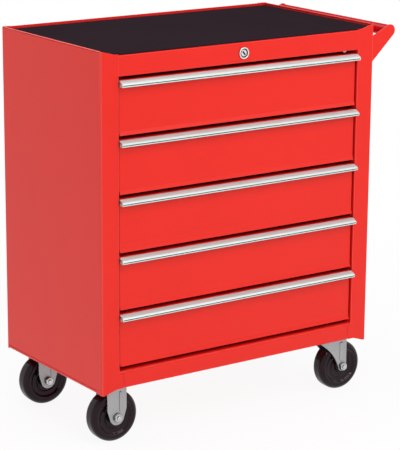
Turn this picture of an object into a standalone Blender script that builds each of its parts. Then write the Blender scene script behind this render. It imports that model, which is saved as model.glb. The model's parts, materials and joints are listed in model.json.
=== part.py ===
"""Rolling tool cart: a sheet steel cabinet with five drawers, a side push handle and four casters.

Metres, +Z up. The origin is on the floor, under the middle of the cart's box. The drawers open towards
-Y and the push handle is on the +X side. Inside the functions, a piece's points are drawn from its own
origin, and its object's location puts them in place.
"""

from math import acos, atan2, cos, hypot, pi, sin, sqrt

import bmesh
import bpy
from mathutils import Vector

# Cabinet
BODY_WIDTH = 0.620
BODY_DEPTH = 0.352
BODY_HEIGHT = 0.636
SHEET = 0.0012
SEAT = 0.0003
OVERRUN = 0.003
MERGE = 0.000001

# Side panels, whose front flanges are the stiles beside the drawers
STILE_WIDTH = 0.038
STILE_RETURN = 0.016
REAR_FLANGE = 0.018
CORNER_BEND = 0.0025
STILE_DROP = 0.009
STILE_RISE = 0.008
STILE_FLAT = 0.008
STILE_SLOPE = 0.020
STILE_TAB = 0.008

# Rails and panels
TOP_RAIL_HEIGHT = 0.0383
TOP_RAIL_FLANGE = 0.014
RAIL_BEND = 0.002
BOTTOM_RAIL_HEIGHT = 0.037
BOTTOM_RAIL_ROUND = 0.008
BOTTOM_RAIL_SHELF = 0.016
BOTTOM_RAIL_FLANGE = 0.012
FLOOR_RISE = 0.016
FLOOR_SETBACK = 0.0035
FLOOR_FLANGE = 0.015
RIM_STEP = 0.0004
TOP_SETBACK = 0.0025
MAT_SETBACK = 0.004
MAT_THICKNESS = 0.0022

# Drawer fronts
DRAWER_COUNT = 5
DRAWER_GAP = 0.0035
FACE_RECESS = 0.005
FACE_SIDE_GAP = 0.003
FRONT_FLANGE = 0.012
LIP_FLARE = 0.004
LIP_HEIGHT = 0.0075
LEDGE_REACH = 0.0105
LEDGE_DROP = 0.0077

# Pull strips, an aluminium section that grips the ledge
PULL_SIDE_GAP = 0.0008
PULL_WALL = 0.0013
PULL_BACK_REACH = 0.0070
PULL_GRIP_TOP = 0.0013
PULL_NOSE_REACH = 0.015
PULL_NOSE_DROP = 0.0118
PULL_GROOVE = 0.0010
PULL_LIP_DROP = 0.0152
PULL_LIP_REACH = 0.0136

# Drawer trays and slides
TRAY_SHEET = 0.0010
TRAY_SIDE_SPACE = 0.013
TRAY_RISE = 0.008
TRAY_TOP_DROP = 0.010
TRAY_BACK_SPACE = 0.035
SLIDE_CLEARANCE = 0.0004
SLIDE_FRONT = 0.0145
RUNNER_HEIGHT = 0.035
RUNNER_REACH = 0.0094
SLIDE_REACH = 0.0102

# Uprights that carry the runners
UPRIGHT_WIDTH = 0.028
UPRIGHT_INSET = 0.030

# Lock
LOCK_DROP = 0.020
LOCK_FLANGE_RADIUS = 0.0118
LOCK_FLANGE_PROUD = 0.0026
LOCK_FLANGE_EDGE = 0.0010
LOCK_BARREL_RADIUS = 0.0092
LOCK_BARREL_LENGTH = 0.021
PLUG_RADIUS = 0.0068
PLUG_RECESS = 0.0007
KEY_SLOT_LENGTH = 0.0088
KEY_SLOT_WIDTH = 0.0020
KEY_SLOT_DEPTH = 0.006
KEY_SLOT_TURN_DEG = 45
ROD_RADIUS = 0.003
ROD_DISC_RADIUS = 0.0085
ROD_DISC_THICKNESS = 0.002
CRANK_RADIUS = 0.0082
CRANK_THICKNESS = 0.003
CRANK_WIDTH = 0.008
CRANK_START_DEG = 45
CRANK_PIN_RADIUS = 0.002
CRANK_PIN_PROUD = 0.0015
PIN_CLEARANCE = 0.0006
BEARING_WIDTH = 0.016
BEARING_THICKNESS = 0.0025

# Lock bar behind the drawers
BAR_WIDTH = 0.024
BAR_THICKNESS = 0.003
BAR_SPACE = 0.0125
BAR_HEAD_WIDTH = 0.038
BAR_HEAD_HEIGHT = 0.016
BAR_FOOT_DROP = 0.030
HOOK_WIDTH = 0.012
HOOK_LIFT = 0.002
HOOK_ARM_GAP = 0.0009
HOOK_THICKNESS = 0.003
HOOK_WALL_GAP = 0.0015
GUIDE_HEIGHT = 0.012
GUIDE_WALL = 0.002
GUIDE_CLEARANCE = 0.0004
GUIDE_OVER_TRAY = 0.045

# Push handle
HANDLE_REACH = 0.0436
HANDLE_DROP = 0.017
HANDLE_TIP_RADIUS = 0.012
TUBE_RADIUS = 0.0105
TUBE_WALL = 0.0015
BRACKET_SHEET = 0.002
BRACKET_INSET = 0.003
BRACKET_FLANGE = 0.020
BRACKET_ROOT_LOW_DROP = 0.0744
BRACKET_ROOT_HIGH_DROP = 0.0237

# Casters
WHEEL_RADIUS = 0.050
WHEEL_WIDTH = 0.032
WHEEL_SHOULDER = 0.0065
TREAD_DEPTH = 0.014
WHEEL_RIM_SLOPE = 0.002
WHEEL_DISH = 0.0035
HUB_RADIUS = 0.0125
HUB_PROUD = 0.0013
HUB_CLEARANCE = 0.001
AXLE_RADIUS = 0.004
AXLE_CLEARANCE = 0.0003
AXLE_INSET_Y = 0.0507
RIGID_AXLE_INSET = 0.0505
SWIVEL_PIN_INSET = 0.061
SWIVEL_TRAIL = 0.029
FORK_SHEET = 0.0025
PLATE_SHEET = 0.0025
PLATE_LENGTH = 0.080
PLATE_WIDTH = 0.060
BOLT_FLATS = 0.010
BOLT_HEAD_HEIGHT = 0.004
BOLT_INSET = 0.0085
RIGID_LEG_WIDTH = 0.045
RIGID_TIP_RADIUS = 0.0145
RIGID_TAPER_HEIGHT = 0.026
SWIVEL_TIP_RADIUS = 0.012
SWIVEL_CROWN_REACH = 0.026
CROWN_CLEARANCE = 0.0045
SWEEP_OUT = 0.017
SWEEP_RISE = 0.024
RACE_RADIUS = 0.023
RACE_GAP = 0.0004
RACE_HEIGHT = 0.0075
FORK_RACE_HEIGHT = 0.0073
PIN_RADIUS = 0.005
PIN_HEAD_RADIUS = 0.008
PIN_HEAD_HEIGHT = 0.0035
RIB_WIDTH = 0.004
RIB_PROUD = 0.001
RIB_LENGTH = 0.032
RIB_ABOVE_AXLE = 0.020
RIB_OFFSET = 0.006
NUT_FLATS = 0.014
NUT_HEIGHT = 0.0075
NUT_END_PROUD = 0.003
AXLE_HEAD_HEIGHT = 0.0055

# Facets
BEND_STEPS = 3
ROUND_STEPS = 3
TIP_STEPS = 8
WHEEL_SEGMENTS = 32
TUBE_SEGMENTS = 24
SMALL_SEGMENTS = 12
HEX_SEGMENTS = 6
SMOOTH_ANGLE = pi / 6

# Places worked out from the sizes
CROWN_HEIGHT = 2 * WHEEL_RADIUS + CROWN_CLEARANCE + FORK_SHEET
CASTER_HEIGHT = CROWN_HEIGHT + FORK_RACE_HEIGHT + RACE_GAP + RACE_HEIGHT + PLATE_SHEET + SEAT
WHEEL_RIM_RADIUS = WHEEL_RADIUS - TREAD_DEPTH
HUB_WIDTH = WHEEL_WIDTH + 2 * HUB_PROUD
FORK_GAP = HUB_WIDTH + 2 * HUB_CLEARANCE
HANDLE_OVERHANG = HANDLE_REACH + HANDLE_TIP_RADIUS
PULL_PROUD = PULL_NOSE_REACH - FACE_RECESS
X_LEFT = -(BODY_WIDTH + HANDLE_OVERHANG) / 2
X_RIGHT = X_LEFT + BODY_WIDTH
X_MID = X_LEFT + BODY_WIDTH / 2
Y_FRONT = (PULL_PROUD - BODY_DEPTH) / 2
Y_BACK = Y_FRONT + BODY_DEPTH
Z_BASE = CASTER_HEIGHT - FLOOR_RISE
Z_TOP = Z_BASE + BODY_HEIGHT
Z_RAIL_TOP = Z_TOP - STILE_DROP
Z_RAIL_LOW = Z_RAIL_TOP - TOP_RAIL_HEIGHT
Z_SILL = Z_BASE + STILE_RISE + BOTTOM_RAIL_HEIGHT
OPENING_WIDTH = BODY_WIDTH - 2 * STILE_WIDTH
FRONT_HEIGHT = (Z_RAIL_LOW - Z_SILL - (DRAWER_COUNT + 1) * DRAWER_GAP) / DRAWER_COUNT
FRONT_WIDTH = OPENING_WIDTH - 2 * FACE_SIDE_GAP
DRAWER_PITCH = FRONT_HEIGHT + DRAWER_GAP
TRAY_WIDTH = OPENING_WIDTH - 2 * TRAY_SIDE_SPACE
TRAY_HEIGHT = FRONT_HEIGHT - TRAY_RISE - TRAY_TOP_DROP
TRAY_BACK = BODY_DEPTH - TRAY_BACK_SPACE
TRAY_LENGTH = TRAY_BACK - FACE_RECESS - SHEET - SEAT
SLIDE_LENGTH = TRAY_BACK - FACE_RECESS - SLIDE_FRONT
Z_LOCK = Z_RAIL_TOP - LOCK_DROP
CRANK_TURN = CRANK_START_DEG * pi / 180
BAR_TRAVEL = 2 * CRANK_RADIUS * sin(CRANK_TURN)
HOOK_TOOTH = BAR_TRAVEL - HOOK_LIFT + HOOK_ARM_GAP
BAR_FRONT = TRAY_BACK + BAR_SPACE
GUIDED_DRAWERS = (2, DRAWER_COUNT)
AXLE_Z = WHEEL_RADIUS
FORK_OUTER = FORK_GAP / 2 + FORK_SHEET

# Finishes: colour, roughness, metallic
RED_PAINT = ((0.80, 0.030, 0.020), 0.35, 0.0)
SIDE_RED = ((0.62, 0.055, 0.045), 0.40, 0.0)
ALUMINIUM = ((0.72, 0.73, 0.72), 0.28, 1.0)
ZINC = ((0.48, 0.48, 0.48), 0.40, 0.9)
CHROME = ((0.75, 0.75, 0.76), 0.12, 1.0)
STEEL = ((0.40, 0.40, 0.42), 0.35, 1.0)
BLACK_MAT = ((0.025, 0.020, 0.023), 0.85, 0.0)
BLACK_WHEEL = ((0.022, 0.017, 0.019), 0.45, 0.0)


def finish(name, look):
    """Return a new material with the colour, roughness and metallic value of a look."""
    colour, roughness, metallic = look
    material = bpy.data.materials.new(f"{name}_finish")
    material.use_nodes = True
    shader = material.node_tree.nodes["Principled BSDF"]
    shader.inputs["Base Color"].default_value = (*colour, 1.0)
    shader.inputs["Roughness"].default_value = roughness
    shader.inputs["Metallic"].default_value = metallic
    return material


def add_piece(name, mesh, place, look, parent=None):
    """Put a mesh in the scene as a named piece with a finish of its own."""
    piece = bpy.data.objects.new(name, mesh)
    bpy.context.scene.collection.objects.link(piece)
    piece.location = place
    piece.parent = parent
    mesh.materials.append(finish(name, look))
    return piece


def add_frame(name, place, parent=None):
    """Add an empty that carries the pieces of one moving body."""
    empty = bpy.data.objects.new(name, None)
    bpy.context.scene.collection.objects.link(empty)
    empty.location = place
    empty.parent = parent
    return empty


def shape(piece, mesh, operation):
    """Fuse or cut a piece with a mesh that is drawn in the piece's own frame."""
    tool = bpy.data.objects.new(mesh.name, mesh)
    bpy.context.scene.collection.objects.link(tool)
    tool.parent = piece
    tool.hide_render = True
    tool.display_type = "WIRE"
    step = piece.modifiers.new(mesh.name, "BOOLEAN")
    step.operation = operation
    step.solver = "EXACT"
    step.object = tool


def fuse(piece, mesh):
    """Weld a mesh to a piece."""
    shape(piece, mesh, "UNION")


def cut(piece, mesh):
    """Take a mesh away from a piece."""
    shape(piece, mesh, "DIFFERENCE")


def on_axis(axis, first, second, along):
    """Return the point at two places across an axis and one along it."""
    if axis == "X":
        return Vector((along, first, second))
    if axis == "Y":
        return Vector((first, along, second))
    return Vector((first, second, along))


def closed_mesh(name, bm):
    """Turn a bmesh into a mesh with its faces pointing out."""
    bmesh.ops.recalc_face_normals(bm, faces=bm.faces)
    mesh = bpy.data.meshes.new(name)
    bm.to_mesh(mesh)
    bm.free()
    return mesh


def prism(name, outline, axis, start, end):
    """Return a mesh of a flat outline, drawn across an axis and extruded along it."""
    bm = bmesh.new()
    ring = [bm.verts.new(on_axis(axis, first, second, start)) for first, second in outline]
    face = bm.faces.new(ring)
    grown = bmesh.ops.extrude_face_region(bm, geom=[face])
    moved = [item for item in grown["geom"] if isinstance(item, bmesh.types.BMVert)]
    bmesh.ops.translate(bm, verts=moved, vec=on_axis(axis, 0, 0, end - start))
    return closed_mesh(name, bm)


def box(name, low, high):
    """Return a mesh of a box between two corners."""
    outline = [(low[0], low[1]), (high[0], low[1]), (high[0], high[1]), (low[0], high[1])]
    return prism(name, outline, "Z", low[2], high[2])


def boxes(name, corners):
    """Return one mesh of several boxes that stay apart."""
    bm = bmesh.new()
    for low, high in corners:
        part = box(name, low, high)
        bm.from_mesh(part)
        bpy.data.meshes.remove(part)
    return closed_mesh(name, bm)


def arc(centre, radius, start, turn, steps):
    """Return points on an arc, from a start angle through a turn, in radians."""
    angles = [start + turn * step / steps for step in range(steps + 1)]
    return [(centre[0] + radius * cos(angle), centre[1] + radius * sin(angle)) for angle in angles]


def circle(centre, radius, segments, start=0.0):
    """Return the points of a round outline."""
    return arc(centre, radius, start, 2 * pi, segments)[:-1]


def hexagon(centre, flats):
    """Return a hexagon of a given width across its flats."""
    return circle(centre, flats / sqrt(3), HEX_SEGMENTS)


def turned(name, profile, axis, segments):
    """Return a mesh of a closed profile of (radius, along) points, turned about an axis.

    Two neighbouring points at radius zero lie on the axis, and the edge between them is left out.
    """
    bm = bmesh.new()
    ring = [bm.verts.new(on_axis(axis, *turned_point(axis, radius), along)) for radius, along in profile]
    edges = []
    for index, vert in enumerate(ring):
        following = (index + 1) % len(ring)
        if profile[index][0] > 0 or profile[following][0] > 0:
            edges.append(bm.edges.new((vert, ring[following])))
    bmesh.ops.spin(bm, geom=ring + edges, cent=(0, 0, 0), axis=on_axis(axis, 0, 0, 1),
                   angle=2 * pi, steps=segments, use_merge=True)
    bmesh.ops.remove_doubles(bm, verts=bm.verts, dist=MERGE)
    mesh = closed_mesh(name, bm)
    mesh.shade_smooth()
    mesh.set_sharp_from_angle(angle=SMOOTH_ANGLE)
    return mesh


def turned_point(axis, radius):
    """Return where a radius lies across an axis before it is turned."""
    return (0, radius) if axis == "X" else (radius, 0)


def sheet_outline(path, bends, thickness):
    """Return the outline of a folded sheet whose outer face follows a path.

    The path turns clockwise at each corner, and the sheet lies on its right. Each corner has an outer
    bend radius, and zero leaves it sharp.
    """
    outer = []
    inner = []
    steps = [unit(path[index], path[index + 1]) for index in range(len(path) - 1)]
    normals = [(rise, -run) for run, rise in steps]
    outer.append(path[0])
    inner.append(offset(path[0], normals[0], thickness))
    for corner, before, after, bend in zip(path[1:-1], normals, normals[1:], bends):
        mitre = (before[0] + after[0], before[1] + after[1])
        if bend > thickness:
            centre = offset(corner, mitre, bend)
            start = atan2(-before[1], -before[0])
            outer.extend(arc(centre, bend, start, -pi / 2, BEND_STEPS))
            inner.extend(arc(centre, bend - thickness, start, -pi / 2, BEND_STEPS))
        else:
            outer.append(corner)
            inner.append(offset(corner, mitre, thickness))
    outer.append(path[-1])
    inner.append(offset(path[-1], normals[-1], thickness))
    return outer + inner[::-1]


def unit(start, end):
    """Return the direction from one point to another."""
    length = hypot(end[0] - start[0], end[1] - start[1])
    return ((end[0] - start[0]) / length, (end[1] - start[1]) / length)


def offset(point, direction, distance):
    """Return a point moved along a direction."""
    return (point[0] + direction[0] * distance, point[1] + direction[1] * distance)


def mirrored(outline, hand):
    """Return an outline with its first coordinate on the side that hand (1 or -1) gives."""
    return [(hand * first, second) for first, second in outline]


def side_panel(name, place, hand):
    """Skin with a stile and its return at the front, and a flange behind; x runs inward from the skin."""
    section = sheet_outline([(STILE_WIDTH, STILE_RETURN), (STILE_WIDTH, 0), (0, 0),
                             (0, BODY_DEPTH), (REAR_FLANGE, BODY_DEPTH)],
                            [CORNER_BEND, CORNER_BEND, CORNER_BEND], SHEET)
    panel = add_piece(name, prism(name, mirrored(section, hand), "Z", 0, BODY_HEIGHT), place, SIDE_RED)
    inner = STILE_WIDTH + OVERRUN
    slope_end = STILE_FLAT + STILE_SLOPE
    top = [(STILE_FLAT, BODY_HEIGHT), (slope_end, BODY_HEIGHT - STILE_DROP),
           (inner, BODY_HEIGHT - STILE_DROP), (inner, BODY_HEIGHT + OVERRUN),
           (STILE_FLAT, BODY_HEIGHT + OVERRUN)]
    foot = [(STILE_FLAT, 0), (STILE_FLAT, -OVERRUN), (inner, -OVERRUN), (inner, STILE_RISE),
            (slope_end, STILE_RISE)]
    back = STILE_RETURN + OVERRUN
    cut(panel, prism(f"{name}_top_slope", mirrored(top, hand), "Y", -OVERRUN, back))
    cut(panel, prism(f"{name}_foot_slope", mirrored(foot, hand), "Y", -OVERRUN, back))
    notch_top = FLOOR_RISE + SHEET + SEAT
    notch = [(STILE_WIDTH - CORNER_BEND, -OVERRUN), (inner, -OVERRUN),
             (inner, notch_top), (STILE_WIDTH - CORNER_BEND, notch_top)]
    cut(panel, prism(f"{name}_return_notch", mirrored(notch, hand), "Y", CORNER_BEND, back))
    tab_start = STILE_WIDTH - CORNER_BEND
    tab_end = STILE_WIDTH + STILE_TAB
    tab_top = STILE_RISE + BOTTOM_RAIL_HEIGHT - BOTTOM_RAIL_ROUND
    tab = [(tab_start, STILE_RISE), (tab_end, STILE_RISE), (tab_end, tab_top), (tab_start, tab_top)]
    fuse(panel, prism(f"{name}_tab", mirrored(tab, hand), "Y", 0, SHEET))


def back_panel():
    """Flat back sheet with the two blocks that guide the lock bar."""
    half = BODY_WIDTH / 2 - CORNER_BEND
    outline = [(-half, STILE_RISE), (half, STILE_RISE), (half, BODY_HEIGHT - RIM_STEP),
               (-half, BODY_HEIGHT - RIM_STEP)]
    front = BODY_DEPTH - SHEET - SEAT - SHEET
    mesh = prism("back_panel", outline, "Y", front, front + SHEET)
    panel = add_piece("back_panel", mesh, (X_MID, Y_FRONT, Z_BASE), RED_PAINT)
    window = BAR_WIDTH / 2 + GUIDE_CLEARANCE
    bar_low = BAR_FRONT - GUIDE_CLEARANCE
    bar_high = BAR_FRONT + BAR_THICKNESS + GUIDE_CLEARANCE
    for number in GUIDED_DRAWERS:
        low = tray_top(number) + GUIDE_OVER_TRAY - Z_BASE
        high = low + GUIDE_HEIGHT
        block = box(f"lock_bar_guide_{number}", (-window - GUIDE_WALL, bar_low - GUIDE_WALL, low),
                    (window + GUIDE_WALL, front + SHEET / 2, high))
        fuse(panel, block)
        cut(panel, box(f"lock_bar_window_{number}", (-window, bar_low, low - OVERRUN),
                       (window, bar_high, high + OVERRUN)))


def top_panel():
    """Tray floor with a rim on three sides and a hanging bearing for the lock rod."""
    half = BODY_WIDTH / 2 - SHEET - SEAT
    low = BODY_HEIGHT - STILE_DROP + SEAT
    high = BODY_HEIGHT - RIM_STEP
    back = BODY_DEPTH - 2 * (SHEET + SEAT) - SHEET
    mesh = box("top_panel", (-half, TOP_SETBACK, low), (half, back + SHEET, low + SHEET))
    panel = add_piece("top_panel", mesh, (X_MID, Y_FRONT, Z_BASE), RED_PAINT)
    for hand, side in ((-1, "left"), (1, "right")):
        edges = sorted((hand * half, hand * (half - SHEET)))
        fuse(panel, box(f"top_rim_{side}", (edges[0], TOP_SETBACK, low), (edges[1], back + SHEET, high)))
    fuse(panel, box("top_rim_back", (-half, back, low), (half, back + SHEET, high)))
    bearing_low = Z_LOCK - Z_BASE - BEARING_WIDTH / 2
    bearing_y = rod_end() - SEAT - BEARING_THICKNESS
    fuse(panel, box("rod_bearing", (-BEARING_WIDTH / 2, bearing_y, bearing_low),
                    (BEARING_WIDTH / 2, bearing_y + BEARING_THICKNESS, low + SHEET / 2)))
    hole = circle((0, Z_LOCK - Z_BASE), ROD_RADIUS + SEAT, SMALL_SEGMENTS)
    bearing_end = bearing_y + BEARING_THICKNESS
    cut(panel, prism("rod_hole", hole, "Y", bearing_y - OVERRUN, bearing_end + OVERRUN))


def bottom_panel():
    """Floor of the cabinet, with a flange turned up at the sides and the back."""
    half = BODY_WIDTH / 2 - SHEET - SEAT
    back = BODY_DEPTH - 2 * (SHEET + SEAT) - SHEET
    mesh = box("bottom_panel", (-half, FLOOR_SETBACK, 0), (half, back + SHEET, SHEET))
    panel = add_piece("bottom_panel", mesh, (X_MID, Y_FRONT, Z_BASE + FLOOR_RISE), RED_PAINT)
    start = STILE_RETURN + SEAT
    for hand, side in ((-1, "left"), (1, "right")):
        edges = sorted((hand * half, hand * (half - SHEET)))
        fuse(panel, box(f"floor_flange_{side}", (edges[0], start, 0), (edges[1], back + SHEET, FLOOR_FLANGE)))
    fuse(panel, box("floor_flange_back", (-half, back, 0), (half, back + SHEET, FLOOR_FLANGE)))


def top_rail():
    """Channel above the drawers, with the hole for the lock."""
    section = sheet_outline([(TOP_RAIL_FLANGE, 0), (0, 0), (0, TOP_RAIL_HEIGHT),
                             (TOP_RAIL_FLANGE, TOP_RAIL_HEIGHT)], [RAIL_BEND, RAIL_BEND], SHEET)
    half = OPENING_WIDTH / 2 - SEAT
    mesh = prism("top_rail", section, "X", -half, half)
    rail = add_piece("top_rail", mesh, (X_MID, Y_FRONT, Z_RAIL_LOW), RED_PAINT)
    hole = circle((0, Z_LOCK - Z_RAIL_LOW), LOCK_BARREL_RADIUS + SEAT, TUBE_SEGMENTS)
    cut(rail, prism("lock_hole", hole, "Y", -OVERRUN, SHEET + OVERRUN))


def bottom_rail():
    """Sill under the drawers, rounded over at the top and notched for the tabs of the stiles."""
    section = sheet_outline([(BOTTOM_RAIL_FLANGE, 0), (0, 0), (0, BOTTOM_RAIL_HEIGHT),
                             (BOTTOM_RAIL_SHELF, BOTTOM_RAIL_HEIGHT)],
                            [RAIL_BEND, BOTTOM_RAIL_ROUND], SHEET)
    half = OPENING_WIDTH / 2 - SEAT
    mesh = prism("bottom_rail", section, "X", -half, half)
    rail = add_piece("bottom_rail", mesh, (X_MID, Y_FRONT, Z_BASE + STILE_RISE), RED_PAINT)
    notch_top = BOTTOM_RAIL_HEIGHT - BOTTOM_RAIL_ROUND + SEAT
    for hand, side in ((-1, "left"), (1, "right")):
        edges = sorted((hand * (OPENING_WIDTH / 2 - STILE_TAB - SEAT), hand * (half + OVERRUN)))
        cut(rail, box(f"sill_notch_{side}", (edges[0], -OVERRUN, -OVERRUN),
                      (edges[1], BOTTOM_RAIL_FLANGE + OVERRUN, notch_top)))


def top_mat():
    """Rubber mat in the top tray."""
    half = BODY_WIDTH / 2 - 2 * (SHEET + SEAT)
    back = BODY_DEPTH - 3 * (SHEET + SEAT)
    mesh = box("top_mat", (-half, MAT_SETBACK, 0), (half, back, MAT_THICKNESS))
    add_piece("top_mat", mesh, (X_MID, Y_FRONT, Z_RAIL_TOP + SEAT + SHEET + SEAT), BLACK_MAT)


def bracket_outline():
    """Arm from its root on the side panel to the round tip; x runs outward and z up from the base."""
    tip = (HANDLE_REACH, BODY_HEIGHT - HANDLE_DROP)
    low = (SEAT, BODY_HEIGHT - BRACKET_ROOT_LOW_DROP)
    high = (SEAT, BODY_HEIGHT - BRACKET_ROOT_HIGH_DROP)
    low_angle = tangent_angle(low, tip, HANDLE_TIP_RADIUS, -1)
    high_angle = tangent_angle(high, tip, HANDLE_TIP_RADIUS, 1) % (2 * pi)
    return [high, low] + arc(tip, HANDLE_TIP_RADIUS, low_angle, high_angle - low_angle, TIP_STEPS)


def tangent_angle(point, centre, radius, side):
    """Return the angle, seen from a circle's centre, where a line from a point touches the circle."""
    away = atan2(point[1] - centre[1], point[0] - centre[0])
    reach = hypot(point[0] - centre[0], point[1] - centre[1])
    return away - side * acos(radius / reach)


def push_handle():
    """Tube between two flanged brackets on the right side panel."""
    outline = bracket_outline()
    root_low = BODY_HEIGHT - BRACKET_ROOT_LOW_DROP
    root_high = BODY_HEIGHT - BRACKET_ROOT_HIGH_DROP
    for name, hand, origin_y in (("handle_bracket_front", 1, Y_FRONT), ("handle_bracket_rear", -1, Y_BACK)):
        faces = sorted((hand * BRACKET_INSET, hand * (BRACKET_INSET + BRACKET_SHEET)))
        bracket = add_piece(name, prism(name, outline, "Y", *faces), (X_RIGHT, origin_y, Z_BASE), RED_PAINT)
        ends = sorted((hand * BRACKET_INSET, hand * (BRACKET_INSET + BRACKET_FLANGE)))
        fuse(bracket, box(f"{name}_flange", (SEAT, ends[0], root_low),
                          (SEAT + BRACKET_SHEET, ends[1], root_high)))
    end = BRACKET_INSET + BRACKET_SHEET + SEAT
    half = BODY_DEPTH / 2 - end
    profile = [(TUBE_RADIUS - TUBE_WALL, -half), (TUBE_RADIUS, -half), (TUBE_RADIUS, half),
               (TUBE_RADIUS - TUBE_WALL, half)]
    centre = (X_RIGHT + HANDLE_REACH, Y_FRONT + BODY_DEPTH / 2, Z_TOP - HANDLE_DROP)
    add_piece("handle_tube", turned("handle_tube", profile, "Y", TUBE_SEGMENTS), centre, RED_PAINT)


def tray_top(number):
    """Return the height of the rim of a drawer's tray above the floor."""
    return front_top(number) - TRAY_TOP_DROP


def front_top(number):
    """Return the height of the top edge of a drawer's front above the floor."""
    return Z_RAIL_LOW - DRAWER_GAP - (number - 1) * DRAWER_PITCH


def runner_middle(number):
    """Return the height of the middle of a drawer's runners above the floor."""
    return tray_top(number) - RUNNER_HEIGHT / 2


def slide_frame(name, place, hand):
    """Two channel uprights with five runners welded to them; x runs inward from the side panel's skin."""
    low = FLOOR_RISE + SHEET + SEAT
    high = Z_RAIL_LOW - Z_BASE + SHEET + SEAT
    skin = 2 * (SHEET + SEAT)
    front = STILE_RETURN + UPRIGHT_INSET
    rear = BODY_DEPTH - REAR_FLANGE - UPRIGHT_INSET
    sections = []
    for start in (front, rear - UPRIGHT_WIDTH):
        sections.append(sheet_outline([(skin, start + UPRIGHT_WIDTH), (STILE_WIDTH, start + UPRIGHT_WIDTH),
                                       (STILE_WIDTH, start), (skin, start)], [0, 0], SHEET))
    mesh = prism(name, mirrored(sections[0], hand), "Z", low, high)
    frame = add_piece(name, mesh, place, STEEL)
    fuse(frame, prism(f"{name}_rear_upright", mirrored(sections[1], hand), "Z", low, high))
    web = STILE_WIDTH - SHEET / 2
    lip = STILE_WIDTH + RUNNER_REACH
    start = FACE_RECESS + SLIDE_FRONT
    for number in range(1, DRAWER_COUNT + 1):
        middle = runner_middle(number) - Z_BASE
        bottom = middle - RUNNER_HEIGHT / 2
        top = middle + RUNNER_HEIGHT / 2
        section = sheet_outline([(lip, bottom), (web, bottom), (web, top), (lip, top)], [0, 0], SHEET)
        fuse(frame, prism(f"{name}_runner_{number}", mirrored(section, hand), "Y",
                          start, start + SLIDE_LENGTH))


def front_outline():
    """Section of a drawer front; y runs back from its face and z up from its top edge."""
    ledge = unit((0, 0), (-LEDGE_REACH, -LEDGE_DROP))
    under = (-ledge[1], ledge[0])
    ledge_end = (-LEDGE_REACH, -LEDGE_DROP)
    ledge_low = offset(ledge_end, under, SHEET)
    root_low = (0, -SHEET / -ledge[0])
    lip_top = -(FRONT_HEIGHT - LIP_HEIGHT)
    lip = unit((0, lip_top), (-LIP_FLARE, -FRONT_HEIGHT))
    lip_back = (-lip[1], lip[0])
    lip_end = (-LIP_FLARE, -FRONT_HEIGHT)
    return [(FRONT_FLANGE, 0), (0, 0), ledge_end, ledge_low, root_low, (0, lip_top), lip_end,
            offset(lip_end, lip_back, SHEET), (SHEET, lip_top), (SHEET, -SHEET), (FRONT_FLANGE, -SHEET)]


def beside_ledge(y, above):
    """Return a point that lies above the ledge's top face and follows its slope."""
    return (y, y * LEDGE_DROP / LEDGE_REACH + above)


def pull_outline():
    """Section of the pull strip: two legs that grip the ledge, a sloping face, a groove and a lip."""
    upright_share = hypot(LEDGE_REACH, LEDGE_DROP) / LEDGE_REACH
    gap = SEAT * upright_share
    leg = PULL_WALL * upright_share
    under = -(SHEET + SEAT) * upright_share
    back = -PULL_BACK_REACH
    stop = -LEDGE_REACH - SEAT
    nose = (-PULL_NOSE_REACH, -PULL_NOSE_DROP)
    groove = (-PULL_NOSE_REACH + PULL_GROOVE, -PULL_NOSE_DROP - PULL_GROOVE / 2)
    lip = (-PULL_NOSE_REACH, -PULL_NOSE_DROP - PULL_GROOVE)
    lip_end = (-PULL_LIP_REACH, -PULL_LIP_DROP)
    return [beside_ledge(back, gap + leg), beside_ledge(stop, gap + PULL_GRIP_TOP),
            nose, groove, lip, lip_end,
            (PULL_WALL - PULL_LIP_REACH, -PULL_LIP_DROP), (PULL_WALL + groove[0], lip[1]),
            beside_ledge(stop + PULL_WALL / 2, under - leg), beside_ledge(back, under - leg),
            beside_ledge(back, under), beside_ledge(stop, under),
            beside_ledge(stop, gap), beside_ledge(back, gap)]


def tray_mesh():
    """Open tray folded from one sheet; y runs back from the drawer's face, z up from its top edge."""
    half = TRAY_WIDTH / 2
    front = SHEET + SEAT
    low = -FRONT_HEIGHT + TRAY_RISE
    bm = bmesh.new()
    shell = box("tray", (-half, front, low), (half, front + TRAY_LENGTH, low + TRAY_HEIGHT))
    bm.from_mesh(shell)
    bpy.data.meshes.remove(shell)
    bm.faces.ensure_lookup_table()
    roof = max(bm.faces, key=lambda face: face.calc_center_median().z)
    bmesh.ops.inset_region(bm, faces=[roof], thickness=TRAY_SHEET, use_even_offset=True)
    sunk = bmesh.ops.extrude_face_region(bm, geom=[roof])
    moved = [item for item in sunk["geom"] if isinstance(item, bmesh.types.BMVert)]
    bmesh.ops.translate(bm, verts=moved, vec=(0, 0, TRAY_SHEET - TRAY_HEIGHT))
    bmesh.ops.delete(bm, geom=[roof], context="FACES_ONLY")
    return closed_mesh("tray", bm)


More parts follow.
